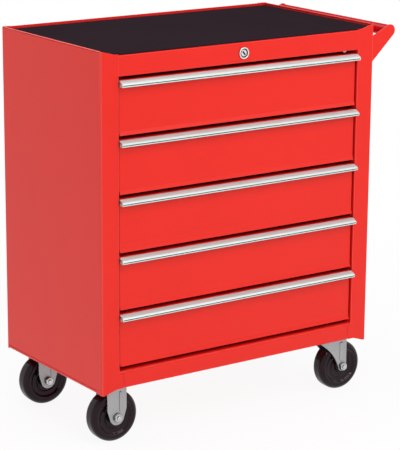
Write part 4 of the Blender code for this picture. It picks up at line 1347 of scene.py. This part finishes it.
    def rim_welds(self) -> None:
        """Add the spot welds on the inner faces of the top tray's rim."""
        low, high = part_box("top_panel")
        level = high.z - self.weld_drop
        radius = self.weld_radius
        rise = self.weld_height
        welds = []
        for share in self.side_welds:
            y = low.y + share * (high.y - low.y)
            welds += [dome(Axis.X, Vector((high.x - SHEET, y, level)), radius, -rise),
                      dome(Axis.X, Vector((low.x + SHEET, y, level)), radius, rise)]
        for share in self.back_welds:
            x = low.x + share * (high.x - low.x)
            welds.append(dome(Axis.Y, Vector((x, high.y - SHEET, level)), radius, -rise))
        add_piece("rim_spot_welds", gathered(welds), RED, ["top_panel"], stands=False)

    def rivets(self) -> None:
        """Add the rivets that hold the back panel to the flanges of the sides."""
        datum = self.datum
        pitch = datum.height - 2 * self.rivet_inset
        rivets = []
        for x in (datum.left + self.rear_flange / 2, datum.right - self.rear_flange / 2):
            for step in range(self.rivet_count):
                z = datum.base + self.rivet_inset + step * pitch / (self.rivet_count - 1)
                centre = Vector((x, datum.back, z))
                rivets += [dome(Axis.Y, centre, self.rivet_radius, self.rivet_height),
                           turned(self.rivet_pin, Axis.Y, centre, SMALL_SEGMENTS)]
        add_piece("back_rivets", gathered(rivets), SLIDE_ZINC, ["back_panel"], stands=False)


@dataclass(frozen=True)
class TopMat:
    """Rubber sheet in the top tray, cut with round corners and lapped over the tray's front edge."""

    corner: float = 0.004
    edge: float = 0.0009
    lap: float = 0.0024
    lap_drop: float = 0.0014
    lap_inset: float = 0.036
    lap_edge: float = 0.0004
    lap_end: float = 0.0005

    def build(self) -> None:
        """Build the mat."""
        low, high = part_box("top_mat")
        front = low.y - self.lap
        back = low.y + self.corner
        under = low.z - self.lap_drop
        section = eased([(front, under, self.lap_edge), (back, under, 0.0), (back, high.z - SEAT, 0.0),
                         (front, high.z - SEAT, self.edge)], EDGE_STEPS)
        lap = prism(section, Axis.X, low.x + self.lap_inset, high.x - self.lap_inset, self.lap_end)
        sheet = prism(rectangle(low, high, self.corner), Axis.Z, low.z, high.z, self.edge)
        add_piece("rubber_mat", gathered([sheet, lap]), RUBBER, ["top_mat"])


@dataclass(frozen=True)
class PushHandle:
    """Tube between two flanged brackets on the right side.

    The bead's lap is how far it runs over the bracket, at the tube and at its widest. Its crown is the
    corner of its section, as shares of its swell out from the tube and along it.
    """

    datum: Datum
    inset: float = 0.003
    sheet: float = 0.002
    edge: float = 0.0007
    flange: float = 0.020
    tip_radius: float = 0.012
    root_low_drop: float = 0.0744
    root_high_drop: float = 0.0237
    tube_wall: float = 0.0015
    bead: float = 0.0016
    bead_sunk: float = 0.0002
    bead_lap: Point = (0.0006, 0.0003)
    bead_crown: Point = (0.72, 0.5)
    bead_waves: int = 17
    bead_wave: float = 0.12

    def build(self) -> None:
        """Build the tube, the brackets and the weld beads."""
        low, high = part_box("handle_tube")
        centre = (low + high) / 2
        radius = (high.z - low.z) / 2
        half = (high.y - low.y) / 2
        wall = self.tube_wall
        profile = [(radius - wall, -half), (radius, -half), (radius, half), (radius - wall, half)]
        tube = turned(profile, Axis.Y, centre, loop=True)
        add_piece("grip_tube", tube, TUBE_RED, ["handle_tube"], SOFT_EDGE)
        for name, way, origin in (("front", 1, self.datum.front), ("rear", -1, self.datum.back)):
            self.bracket(name, way, origin, centre)
            self.weld_bead(name, way, centre, half, radius)

    def bracket(self, name: str, way: int, origin: float, tube: Vector) -> None:
        """Build one bracket.

        Args:
            name: Which end of the handle it holds.
            way: 1 if the handle runs back from it, or -1.
            origin: Plane of the cabinet's face behind which it is set in.
            tube: Middle of the tube.
        """
        root = self.datum.right + SEAT
        low = (root, self.datum.top - self.root_low_drop)
        high = (root, self.datum.top - self.root_high_drop)
        tip = (tube.x, tube.z)
        start = touch_angle(low, tip, self.tip_radius, -1)
        end = touch_angle(high, tip, self.tip_radius, 1) % (2 * pi)
        outline = [high, low] + arc(tip, self.tip_radius, start, end - start, SMALL_SEGMENTS)
        near = origin + way * self.inset
        arm = prism(outline, Axis.Y, near, near + way * self.sheet)
        foot = rectangle((root, near + way * self.sheet / 2), (root + self.sheet, near + way * self.flange))
        bracket = worked(arm, prism(foot, Axis.Z, low[1], high[1]), Join.FUSE)
        add_piece(f"handle_arm_{name}", bracket, RED, [f"handle_bracket_{name}"], self.edge)

    def weld_bead(self, name: str, way: int, tube: Vector, half: float, radius: float) -> None:
        """Add the bead that joins the tube to a bracket.

        Args:
            name: Which end of the handle it is on.
            way: 1 if the handle runs back from it, or -1.
            tube: Middle of the tube.
            half: Half the tube's length.
            radius: Radius of the tube.
        """
        end = -way * half
        lap, foot = self.bead_lap
        crown_out, crown_along = self.bead_crown
        rings = []
        for angle in sweep(2 * pi, FINE_SEGMENTS)[:-1]:
            swell = self.bead * (1 + self.bead_wave * sin(self.bead_waves * angle))
            section = [(0.0, -way * lap), (swell, -way * foot),
                       (swell * crown_out, way * swell * crown_along), (0.0, way * swell)]
            rings.append([tube + Vector(((radius + out - self.bead_sunk) * cos(angle), end + along,
                                         (radius + out - self.bead_sunk) * sin(angle)))
                          for out, along in section])
        add_piece(f"handle_bead_{name}", skin(rings, loop=True), TUBE_RED, ["handle_tube"],
                  stands=False)


@dataclass(frozen=True)
class Lock:
    """Chromed cam lock on the top rail, with the rod and the bar behind it.

    The dish counts outward from the plug's ring and back from the flange's face.
    """

    flange_proud: float = 0.0026
    flange_edge: float = 0.0011
    flange_share: float = 0.93
    barrel_radius: float = 0.0092
    barrel_length: float = 0.021
    ring_gap: float = 0.0013
    dish: Sequence[Point] = ((0.0, 0.0012), (0.0005, 0.0004), (0.0010, 0.0))
    plug_radius: float = 0.0064
    plug_recess: float = 0.0018
    plug_edge: float = 0.0006
    slot_length: float = 0.0100
    slot_width: float = 0.0030
    slot_depth: float = 0.006
    slot_round: float = 0.9
    slot_turn: float = 130.0

    def build(self) -> None:
        """Build the housing and the plug, and dress the rod and the bar."""
        low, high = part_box("lock_housing")
        radius = self.flange_share * (high.z - low.z) / 2
        centre = Vector(((low.x + high.x) / 2, low.y + self.flange_proud, (low.z + high.z) / 2))
        self.housing(centre, radius)
        self.plug(centre)
        for name in ("lock_rod", "lock_bar"):
            dress(name, SLIDE_ZINC)

    def housing(self, centre: Vector, radius: float) -> None:
        """Build the flange and the barrel round the plug.

        Args:
            centre: Middle of the flange's seat on the rail.
            radius: Radius of the flange.
        """
        face = -self.flange_proud
        edge = self.flange_edge
        bore = self.plug_radius + SEAT
        ring = bore + self.ring_gap
        profile = [(bore, -face), (ring, -face), *((ring + out, face + sunk) for out, sunk in self.dish)]
        profile += arc((radius - edge, face + edge), edge, -pi / 2, pi / 2, EDGE_STEPS)
        profile += [(radius, -SEAT), (self.barrel_radius, -SEAT), (self.barrel_radius, self.barrel_length),
                    (bore, self.barrel_length)]
        housing = turned(profile, Axis.Y, centre, loop=True)
        add_piece("lock_shell", housing, CHROME, ["lock_housing"])

    def plug(self, centre: Vector) -> None:
        """Build the plug with its key slot.

        Args:
            centre: Middle of the flange's seat on the rail.
        """
        radius = self.plug_radius
        edge = self.plug_edge
        face = -self.flange_proud + self.plug_recess
        rounded = arc((radius - edge, face + edge), edge, -pi / 2, pi / 2, SMALL_STEPS)
        profile = [(edge, face), *rounded, (radius, self.barrel_length), (edge, self.barrel_length)]
        plug = turned(profile, Axis.Y, centre)
        half = self.slot_length / 2
        side = self.slot_width / 2
        turn = radians(self.slot_turn)
        corners = rectangle((half, side), (-half, -side), side * self.slot_round, SMALL_STEPS)
        slot = [(centre.x + x * cos(turn) - z * sin(turn), centre.z + x * sin(turn) + z * cos(turn))
                for x, z in corners]
        front = centre.y + face
        plug = worked(plug, prism(slot, Axis.Y, front - OVERRUN, front + self.slot_depth), Join.CUT)
        add_piece("lock_cylinder", plug, CHROME, ["lock_plug"], SMALL_EDGE)


@dataclass(frozen=True)
class Drawers:
    """Five drawers, each a folded front, a gripped pull strip, a tray and two slides."""

    datum: Datum
    count: int = 5
    recess: float = 0.005
    crest: float = 0.0038
    foot_gap: float = 0.0012
    front_edge: float = 0.0009
    flange: float = 0.012
    lip_flare: float = 0.0026
    lip_height: float = 0.0075
    ledge_reach: float = 0.0105
    ledge_slope: float = 0.46
    top_bend: float = 0.0016
    ledge_share: float = 0.4
    lip_bend: float = 0.004
    strip_edge: float = 0.00025
    strip_wall: float = 0.0013
    strip_back: float = 0.0028
    nose_reach: float = 0.0155
    nose_drop: float = 0.0112
    shoulder: float = 0.0030
    shoulder_bend: float = 0.006
    groove: float = 0.0018
    groove_depth: float = 0.0022
    groove_floor: float = 0.0003
    groove_lip: float = 0.0002
    lip_drop: float = 0.0150
    lip_reach: float = 0.0141
    strip_bend: float = 0.0004
    crest_bend: float = 0.0006
    foot_bend: float = 0.0003
    heel_bend: float = 0.0002
    slot_bend: float = 0.0001
    tray_sheet: float = 0.001
    tray_corner: float = 0.004
    tray_foot: float = 0.0015
    tray_bend: float = 0.0010
    hem: float = 0.0022
    hem_height: float = 0.007

    def build(self) -> None:
        """Build the fronts, strips and trays, and dress the slides."""
        low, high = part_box("drawer_1_front")
        front = self.front(low, high)
        strip = self.strip(*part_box("drawer_1_pull"), high.z)
        for number in range(1, self.count + 1):
            name = f"drawer_{number}"
            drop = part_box(f"{name}_front")[1].z - high.z
            add_piece(f"{name}_face", moved(front, (0, 0, drop)), RED, [f"{name}_front"],
                      self.front_edge)
            add_piece(f"{name}_strip", moved(strip, (0, 0, drop)), ALUMINIUM, [f"{name}_pull"],
                      self.strip_edge)
            self.tray(name)
            for side in ("left", "right"):
                dress(f"{name}_slide_{side}", SLIDE_ZINC)

    def front(self, low: Vector, high: Vector) -> Mesh:
        """Build the top drawer's front.

        Args:
            low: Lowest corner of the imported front.
            high: Its highest corner.

        Returns:
            The mesh.
        """
        foot = self.foot_gap - (high.z - low.z)
        lip = foot + self.lip_height
        section = folded([(-self.lip_flare, foot, 0.0), (0.0, lip, self.lip_bend),
                          (0.0, -self.crest, self.top_bend), (self.flange, -self.crest, 0.0)])
        sheet = prism(section, Axis.X, low.x, high.x)
        start = Vector((self.top_bend * self.ledge_share, -self.crest))
        end = Vector(self.above_ledge(-self.ledge_reach, 0.0))
        run = (end - start).normalized() * SHEET
        under = Vector((-run.y, run.x))
        ledge = [tuple(point) for point in (start, end, end + under, start + under)]
        sheet = worked(sheet, prism(ledge, Axis.X, low.x, high.x), Join.FUSE)
        for start_x, end_x in ((low.x, low.x + SHEET), (high.x - SHEET, high.x)):
            wall = block((start_x, SEAT, lip), (end_x, self.flange, -self.crest - SEAT))
            sheet = worked(sheet, wall, Join.FUSE)
        sheet.transform(Matrix.Translation((0.0, self.datum.front + self.recess, high.z)))
        return sheet

    def tray(self, name: str) -> None:
        """Build one drawer's tray, with its rim hemmed inward.

        Args:
            name: Name of the drawer.
        """
        low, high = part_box(f"{name}_tray")
        sheet = self.tray_sheet
        foot = self.tray_foot
        bend = self.tray_bend
        hem = self.hem
        levels = [(low.z, foot), (low.z + foot, 0.0), *rim(high.z, hem / 2, pi, 2 * RIM_STEPS),
                  (high.z - self.hem_height, hem), (high.z - self.hem_height - SEAT, sheet),
                  (low.z + sheet + bend, sheet), (low.z + sheet, sheet + bend)]
        outline = rectangle(low, high, self.tray_corner, EDGE_STEPS)
        add_piece(f"{name}_bin", stepped(outline, Axis.Z, levels), RED, [f"{name}_tray"])

    def above_ledge(self, y: float, above: float) -> Point:
        """Return the point that lies so far above the ledge's top face."""
        return (y, (y - self.top_bend * self.ledge_share) * self.ledge_slope - self.crest + above)

    def strip(self, low: Vector, high: Vector, top: float) -> Mesh:
        """Build the top drawer's pull strip.

        Args:
            low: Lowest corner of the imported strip.
            high: Its highest corner.
            top: Height of the front's top edge.

        Returns:
            The mesh.
        """
        share = hypot(1.0, self.ledge_slope)
        gap = SEAT * share
        leg = self.strip_wall * share
        under = -(SHEET + SEAT) * share
        back = -self.strip_back
        stop = -self.ledge_reach - SEAT
        wall = self.strip_wall
        nose = -self.nose_reach
        bottom = nose + self.groove_depth
        groove = -self.nose_drop - self.groove / 2
        lip = -self.nose_drop - self.groove
        bend = self.strip_bend
        slot = self.slot_bend
        head = [(*self.above_ledge(back, gap + leg), self.crest_bend),
                (*self.above_ledge(nose + self.shoulder, gap + leg), self.shoulder_bend),
                (nose, -self.nose_drop, bend)]
        foot = (-self.lip_reach, -self.lip_drop, bend)
        heel = [(*self.above_ledge(back, under - leg), self.foot_bend),
                (*self.above_ledge(back, under), slot), (*self.above_ledge(stop, under), slot),
                (*self.above_ledge(stop, gap), slot), (*self.above_ledge(back, gap), self.heel_bend)]
        middle = [(bottom, groove + self.groove_floor, slot), (bottom, groove - self.groove_floor, slot),
                  (nose + self.groove_lip, lip, self.foot_bend), foot,
                  (wall - self.lip_reach, -self.lip_drop, bend), (wall + bottom, lip, bend),
                  (*self.above_ledge(stop + wall / 2, under - leg), bend)]
        closed = [foot, (-wall, -self.lip_drop, bend),
                  (-wall, self.above_ledge(-wall, under)[1] - leg, bend)]
        section = eased(head + middle + heel, SMALL_STEPS)
        end = eased(head + closed + heel, SMALL_STEPS)
        strip = gathered([prism(section, Axis.X, low.x + wall / 2, high.x - wall / 2),
                          prism(end, Axis.X, low.x, low.x + wall),
                          prism(end, Axis.X, high.x - wall, high.x)])
        strip.transform(Matrix.Translation((0.0, self.datum.front + self.recess, top)))
        return strip


@dataclass(frozen=True)
class Wheel:
    """Moulded wheel with a hub, a dished web, a raised ring and a rounded tread.

    The hub's edge counts from its radius and face, the rings from the axle and the wheel's face.
    """

    half_width: float = 0.016
    shoulder: float = 0.0105
    bore: float = 0.0043
    bore_edge: Point = (0.0006, 0.0004)
    hub_radius: float = 0.0125
    hub_edge: Sequence[Point] = ((-0.0012, 0.0), (-0.0003, -0.0005), (0.0004, -0.0020))
    rings: Sequence[Point] = (
        (0.0143, -0.0038), (0.0200, -0.0042), (0.0218, -0.0040), (0.0226, -0.0031), (0.0232, -0.0028),
        (0.0238, -0.0031), (0.0246, -0.0040), (0.0290, -0.0040), (0.0312, -0.0037), (0.0322, -0.0031),
        (0.0336, -0.0018), (0.0350, -0.0004), (0.0356, 0.0001), (0.0361, 0.0), (0.0367, -0.0006),
        (0.0374, -0.0008), (0.0384, -0.0007))

    def build(self, corner: str) -> Vector:
        """Build the wheel of one corner.

        Args:
            corner: Name of the corner.

        Returns:
            The wheel's middle.
        """
        node = f"wheel_{corner}"
        low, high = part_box(node)
        centre = (low + high) / 2
        radius = (high.z - low.z) / 2
        hub = (high.y - low.y) / 2
        half = self.half_width
        out, sunk = self.bore_edge
        face = [(self.bore, hub - sunk), (self.bore + out, hub)]
        face += [(self.hub_radius + out, hub + along) for out, along in self.hub_edge]
        face += [(ring, half + along) for ring, along in self.rings]
        shoulder = self.shoulder
        face += arc((radius - shoulder, half - shoulder), shoulder, pi / 2, -pi / 2, SHOULDER_STEPS)
        profile = face + [(place, -along) for place, along in reversed(face)]
        tyre = turned(profile, Axis.Y, Vector(), loop=True)
        add_piece(f"tyre_{corner}", tyre, TYRE, [node], centre=centre)
        return centre


@dataclass(frozen=True)
class Axle:
    """Bolt through a fork, with its head behind and a nut in front.

    Each pair of a turned end is a distance from the end and the radius there, as a share of half the
    flats; a share of WHOLE leaves the hexagon's corners as they are.
    """

    fork_outer: float
    radius: float = 0.004
    flats: float = 0.0144
    nut_height: float = 0.0060
    nut_end: Sequence[Point] = ((0.0, 0.93), (0.0004, 0.99), (0.0010, 1.06), (0.0018, WHOLE))
    nut_seat: Sequence[Point] = ((0.0008, WHOLE), (0.0003, 1.04))
    washer: Point = (0.96, 0.0004)
    head_height: float = 0.0055
    head_seat: Sequence[Point] = ((0.0, 0.98), (0.0006, 0.98), (0.0006, WHOLE))
    head_end: Sequence[Point] = ((0.0016, WHOLE), (0.0009, 1.06), (0.0003, 0.99), (0.0, 0.90))
    end_proud: float = 0.002
    end_share: float = 0.55
    end_edge: Sequence[Point] = ((0.0008, 0.0), (0.0002, 0.0006))
    thread_turns: int = 9
    thread_pitch: float = 0.00125
    thread_depth: float = 0.00035
    thread_shares: Point = (0.35, 0.85)

    def hexagon(self, levels: Iterable[Point], centre: Vector) -> Mesh:
        """Return a hexagon whose corners are turned off.

        Args:
            levels: Place along Y and radius that the corners are turned to, as a share of half the flats.
            centre: Point that the places count from.

        Returns:
            The mesh.
        """
        flat = self.flats / 2
        half = pi / HEX_SIDES
        rings = []
        for along, share in levels:
            ring = []
            for angle in sweep(2 * pi, FINE_SEGMENTS)[:-1]:
                reach = min(flat / cos((angle + half) % (2 * half) - half), flat * share)
                ring.append(centre + Axis.Y.point(reach * cos(angle), reach * sin(angle), along))
            rings.append(ring)
        return skin(rings)

    def build(self, corner: str, centre: Vector) -> None:
        """Build the bolt and the nut of one corner.

        Args:
            corner: Name of the corner.
            centre: Middle of its wheel.
        """
        seat = -self.fork_outer - SEAT
        outer = seat - self.nut_height
        levels = [(outer + along, share) for along, share in self.nut_end]
        levels += [(seat - along, share) for along, share in self.nut_seat]
        share, height = self.washer
        washer = [(self.flats / 2 * share, seat - height), (self.flats / 2 * share, seat)]
        parts = [self.hexagon(levels, centre), turned(washer, Axis.Y, centre, SMALL_SEGMENTS)]
        add_piece(f"hex_nut_{corner}", gathered(parts), BOLT_ZINC, [f"axle_nut_{corner}"])
        head = self.fork_outer + SEAT
        levels = [(head + along, share) for along, share in self.head_seat]
        levels += [(head + self.head_height - along, share) for along, share in self.head_end]
        parts = [self.hexagon(levels, centre), self.shank(outer - self.end_proud, head, centre)]
        add_piece(f"hex_bolt_{corner}", gathered(parts), BOLT_ZINC, [f"axle_bolt_{corner}"])

    def shank(self, tip: float, head: float, centre: Vector) -> Mesh:
        """Build the bolt's shank, threaded at its tip.

        Args:
            tip: Place of the tip along Y.
            head: Place of the head's seat.
            centre: Point that the places count from.

        Returns:
            The mesh.
        """
        start = self.end_edge[-1][1]
        rod = [(self.radius * self.end_share, tip)]
        rod += [(self.radius - inward, tip + along) for inward, along in self.end_edge]
        crest, root = self.thread_shares
        for index in range(self.thread_turns):
            place = tip + start + index * self.thread_pitch
            rod += [(self.radius, place + self.thread_pitch * crest),
                    (self.radius - self.thread_depth, place + self.thread_pitch * root)]
        rod += [(self.radius, tip + 2 * start + self.thread_turns * self.thread_pitch), (self.radius, head)]
        return turned(rod, Axis.Y, centre, SMALL_SEGMENTS)


@dataclass(frozen=True)
class Caster:
    """Sizes and pieces that the fixed and the swivelling casters share."""

    sheet: float = 0.0025
    gap: float = 0.0366
    edge: float = 0.0007
    inner_share: float = 0.6
    border: float = 0.0026
    border_slope: float = 0.0010
    sunk: float = 0.0005
    rib_proud: float = 0.0013
    rib_root: float = 0.0004
    rib_round: float = 0.95
    rib_crown: float = 0.55
    rib_offset: float = 0.0080
    rib_width: float = 0.0056
    rib_low: float = 0.0095
    rib_high: float = 0.0500
    plate_corner: float = 0.004
    plate_edge: float = 0.0005
    bolt_flats: float = 0.010
    bolt_height: float = 0.004
    bolt_inset: float = 0.0085
    bolt_edge: float = 0.0006

    @property
    def outer(self) -> float:
        """Return the distance from the wheel's middle to a leg's outer face."""
        return self.gap / 2 + self.sheet

    def legs(self, outline: Outline) -> list[Mesh]:
        """Return both legs of a fork with their ribs, from a leg's outline across Y, round the axle."""
        return [part for way in (-1, 1) for part in (self.leg(outline, way), self.rib(way))]

    def leg(self, outline: Outline, way: int) -> Mesh:
        """Build one leg with a raised border.

        Args:
            outline: Its outline.
            way: 1 for the leg behind the wheel and -1 for the leg in front.

        Returns:
            The mesh.
        """
        near = self.gap / 2
        edge = self.edge
        levels = [(near, edge * self.inner_share), (near + edge * self.inner_share, 0.0),
                  *rim(self.outer, edge), (self.outer, self.border),
                  (self.outer - self.sunk, self.border + self.border_slope)]
        return stepped(outline, Axis.Y, [(way * along, inward) for along, inward in levels])

    def rib(self, way: int) -> Mesh:
        """Build the pressed rib on a leg.

        Args:
            way: 1 for the leg behind the wheel and -1 for the leg in front.

        Returns:
            The mesh.
        """
        half = self.rib_width / 2
        outline = rectangle((self.rib_offset - half, self.rib_low), (self.rib_offset + half, self.rib_high),
                            half * self.rib_round)
        foot = self.outer - self.sunk - self.rib_root
        proud = self.rib_proud + self.sunk + self.rib_root
        levels = [(way * (foot + proud * sin(a)), half * self.rib_crown * (1 - cos(a)))
                  for a in sweep(pi / 2, EDGE_STEPS)]
        return stepped(outline, Axis.Y, levels)

    def plate(self, low: Vector, high: Vector) -> list[Mesh]:
        """Build a mounting plate and its four bolt heads.

        Args:
            low: Lowest corner of the plate.
            high: Its highest corner.

        Returns:
            The meshes.
        """
        under = high.z - self.sheet
        parts = [prism(rectangle(low, high, self.plate_corner), Axis.Z, under, high.z, self.plate_edge)]
        for x in (low.x + self.bolt_inset, high.x - self.bolt_inset):
            for y in (low.y + self.bolt_inset, high.y - self.bolt_inset):
                head = circle(self.bolt_flats / 2 / cos(pi / HEX_SIDES), HEX_SIDES, (x, y))
                parts.append(prism(head, Axis.Z, under - self.bolt_height, under + SEAT, self.bolt_edge))
        return parts


@dataclass(frozen=True)
class RigidCaster(Caster):
    """Fixed caster: a plate and two tapered legs pressed from one sheet."""

    leg_width: float = 0.0420
    tip_radius: float = 0.0155
    taper_height: float = 0.0150
    taper_bend: float = 0.020
    plate_half: float = 0.030

    def build(self, corner: str, centre: Vector) -> None:
        """Build the fork of one corner.

        Args:
            corner: Name of the corner.
            centre: Middle of its wheel.
        """
        name = f"fork_{corner}"
        low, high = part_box(name)
        half = self.leg_width / 2
        top = high.z - centre.z - SEAT
        touch = touch_angle((half, self.taper_height), (0.0, 0.0), self.tip_radius, 1)
        tip = arc((0.0, 0.0), self.tip_radius, pi - touch, pi + 2 * touch, SMALL_SEGMENTS)
        left = eased([(half, top, 0.0), (-half, top, 0.0), (-half, self.taper_height, self.taper_bend),
                      (*tip[0], 0.0)], loop=False)
        right = eased([(*tip[-1], 0.0), (half, self.taper_height, self.taper_bend), (half, top, 0.0)],
                      loop=False)
        legs = moved(gathered(self.legs(left[:-1] + tip + right[1:-1])), centre)
        plate = self.plate(Vector((low.x, centre.y - self.plate_half, low.z)),
                           Vector((high.x, centre.y + self.plate_half, high.z)))
        add_piece(f"fixed_fork_{corner}", gathered([legs, *plate]), ZINC, [name])


@dataclass(frozen=True)
class SwivelCaster(Caster):
    """Swivelling caster: a plate with its race, and a trailing fork under it."""

    rib_offset: float = -0.0030
    rib_width: float = 0.0088
    rib_low: float = 0.0120
    rib_high: float = 0.0520
    tip_radius: float = 0.0100
    trail: float = 0.029
    crown_reach: float = 0.026
    crown_clearance: float = 0.0045
    crown_corner: float = 0.004
    crown_edge: float = 0.0006
    crown_bends: Point = (0.003, 0.002)
    sweep_out: float = 0.0325
    sweep_rise: float = 0.026
    sweep_bend: float = 0.090
    race: Sequence[Point] = ((0.019, -SEAT), (0.023, 0.0012), (0.0234, 0.0030), (0.023, 0.0063),
                             (0.0218, 0.0073))

    def build(self, corner: str, centre: Vector) -> None:
        """Build the fork of one corner and dress its plate.

        Args:
            corner: Name of the corner.
            centre: Middle of its wheel.
        """
        wheel_low, wheel_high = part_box(f"wheel_{corner}")
        low = (wheel_high.z - wheel_low.z) / 2 + self.crown_clearance
        top = low + self.sheet
        right = self.tip_radius
        left = -self.trail - self.crown_reach
        top_bend, low_bend = self.crown_bends
        tip = arc((0.0, 0.0), self.tip_radius, pi, pi, SMALL_SEGMENTS)
        outline = eased([(right, top, top_bend), (left, top, top_bend)], loop=False)
        outline += eased([(left, top, 0.0), (left, low, low_bend),
                          (left + self.sweep_out, low - self.sweep_rise, self.sweep_bend),
                          (*tip[0], 0.0)], loop=False)[1:-1]
        crown = rectangle((left, -self.outer), (right, self.outer), self.crown_corner)
        race = turned(self.race, Axis.Z, Vector((-self.trail, 0.0, top)))
        parts = [*self.legs(outline + tip), prism(crown, Axis.Z, low, top, self.crown_edge), race]
        add_piece(f"swivel_fork_{corner}", moved(gathered(parts), centre), ZINC,
                  [f"fork_{corner}"])
        dress(f"plate_{corner}", ZINC, self.plate_edge)


@dataclass(frozen=True)
class PhotoCamera:
    """Camera at the photograph's viewing angle."""

    place: Corner = (-2.1253, -3.0294, 1.3050)
    turn_right: float = 35.007
    tilt_down: float = 14.491
    roll: float = 0.4095
    lens: float = 155.766
    film: float = 36.0
    reach: float = 50.0

    def build(self) -> None:
        """Put the camera in the scene."""
        turn, tilt, roll = (radians(angle) for angle in (self.turn_right, self.tilt_down, self.roll))
        ahead = Vector((sin(turn) * cos(tilt), cos(turn) * cos(tilt), -sin(tilt)))
        right = Vector((cos(turn), -sin(turn), 0.0))
        up = right.cross(ahead)
        level = right * cos(roll) + up * sin(roll)
        upright = up * cos(roll) - right * sin(roll)
        matrix = Matrix((level, upright, -ahead)).transposed().to_4x4()
        matrix.translation = self.place
        lens = bpy.data.cameras.new("photo_camera")
        lens.lens = self.lens
        lens.sensor_width = self.film
        lens.clip_end = self.reach
        camera = bpy.data.objects.new("photo_camera", lens)
        bpy.context.scene.collection.objects.link(camera)
        camera.matrix_world = matrix
        bpy.context.scene.camera = camera
        LOG.info("placed the camera")


@dataclass(frozen=True)
class SoftBox:
    """Square studio lamp that faces a point."""

    name: str
    place: Corner
    size: float
    power: float
    target: Corner = (0.0, 0.0, 0.40)

    def build(self) -> None:
        """Put the lamp in the scene."""
        lamp = bpy.data.lights.new(self.name, "AREA")
        lamp.size = self.size
        lamp.energy = self.power
        item = bpy.data.objects.new(self.name, lamp)
        bpy.context.scene.collection.objects.link(item)
        item.location = self.place
        item.rotation_euler = (Vector(self.target) - item.location).to_track_quat("-Z", "Y").to_euler()


@dataclass(frozen=True)
class Studio:
    """Pale floor, soft lamps and a white surround that is greyer overhead."""

    floor_half: float = 30.0
    surround: float = 0.50
    overhead: float = 0.62
    overhead_rise: Point = (0.35, 0.80)
    lamps: Sequence[SoftBox] = (
        SoftBox("key_box", (0.10, -2.0, 2.20), 1.5, 20.0),
        SoftBox("glint_box", (-1.05, -2.4, 1.80), 0.30, 4.0),
        SoftBox("side_box", (1.40, -1.6, 1.95), 0.8, 6.0),
        SoftBox("top_box", (-0.45, 0.1, 2.7), 1.1, 20.0))

    def build(self) -> None:
        """Put the floor, the lamps and the surround in the scene."""
        half = self.floor_half
        corners = rectangle((-half, -half), (half, half))
        mesh = bpy.data.meshes.new("paper_floor")
        mesh.from_pydata([(x, y, 0.0) for x, y in corners], [], [(0, 1, 2, 3)])
        mesh.materials.append(PAPER.material())
        floor = bpy.data.objects.new("paper_floor", mesh)
        bpy.context.scene.collection.objects.link(floor)
        for lamp in self.lamps:
            lamp.build()
        world = bpy.data.worlds.new("white_surround")
        world.use_nodes = True
        net = Net(world.node_tree)
        white = (1.0, 1.0, 1.0, 1.0)
        soft = net.wire(net.node("ShaderNodeBackground", None, {"Color": white, "Strength": self.surround}))
        height = net.wire(net.node("ShaderNodeSeparateXYZ", None, {0: net.place_around()}), "Z")
        grey = (self.overhead, self.overhead, self.overhead, 1.0)
        sky = net.blend(net.eased(height, *self.overhead_rise), white, grey)
        full = net.wire(net.node("ShaderNodeBackground", None, {"Color": sky, "Strength": 1.0}))
        mixed = net.node("ShaderNodeMixShader", None, {0: seen_directly(net), 1: soft, 2: full})
        net.node("ShaderNodeOutputWorld", None, {"Surface": net.wire(mixed)})
        bpy.context.scene.world = world
        bpy.context.scene.view_settings.view_transform = "Standard"
        LOG.info("set the studio")


def main() -> None:
    """Build the cart's looks, piece by piece."""
    logging.basicConfig(level=logging.INFO, format="%(message)s")
    datum = Datum.of_cart()
    Cabinet(datum).build()
    TopMat().build()
    PushHandle(datum).build()
    Lock().build()
    Drawers(datum).build()
    for corner in ("front_left", "rear_left", "front_right", "rear_right"):
        centre = Wheel().build(corner)
        caster = RigidCaster() if corner.endswith("left") else SwivelCaster()
        caster.build(corner, centre)
        Axle(caster.outer).build(corner, centre)
    PhotoCamera().build()
    Studio().build()
    bpy.context.view_layer.update()


if __name__ == "__main__":
    main()
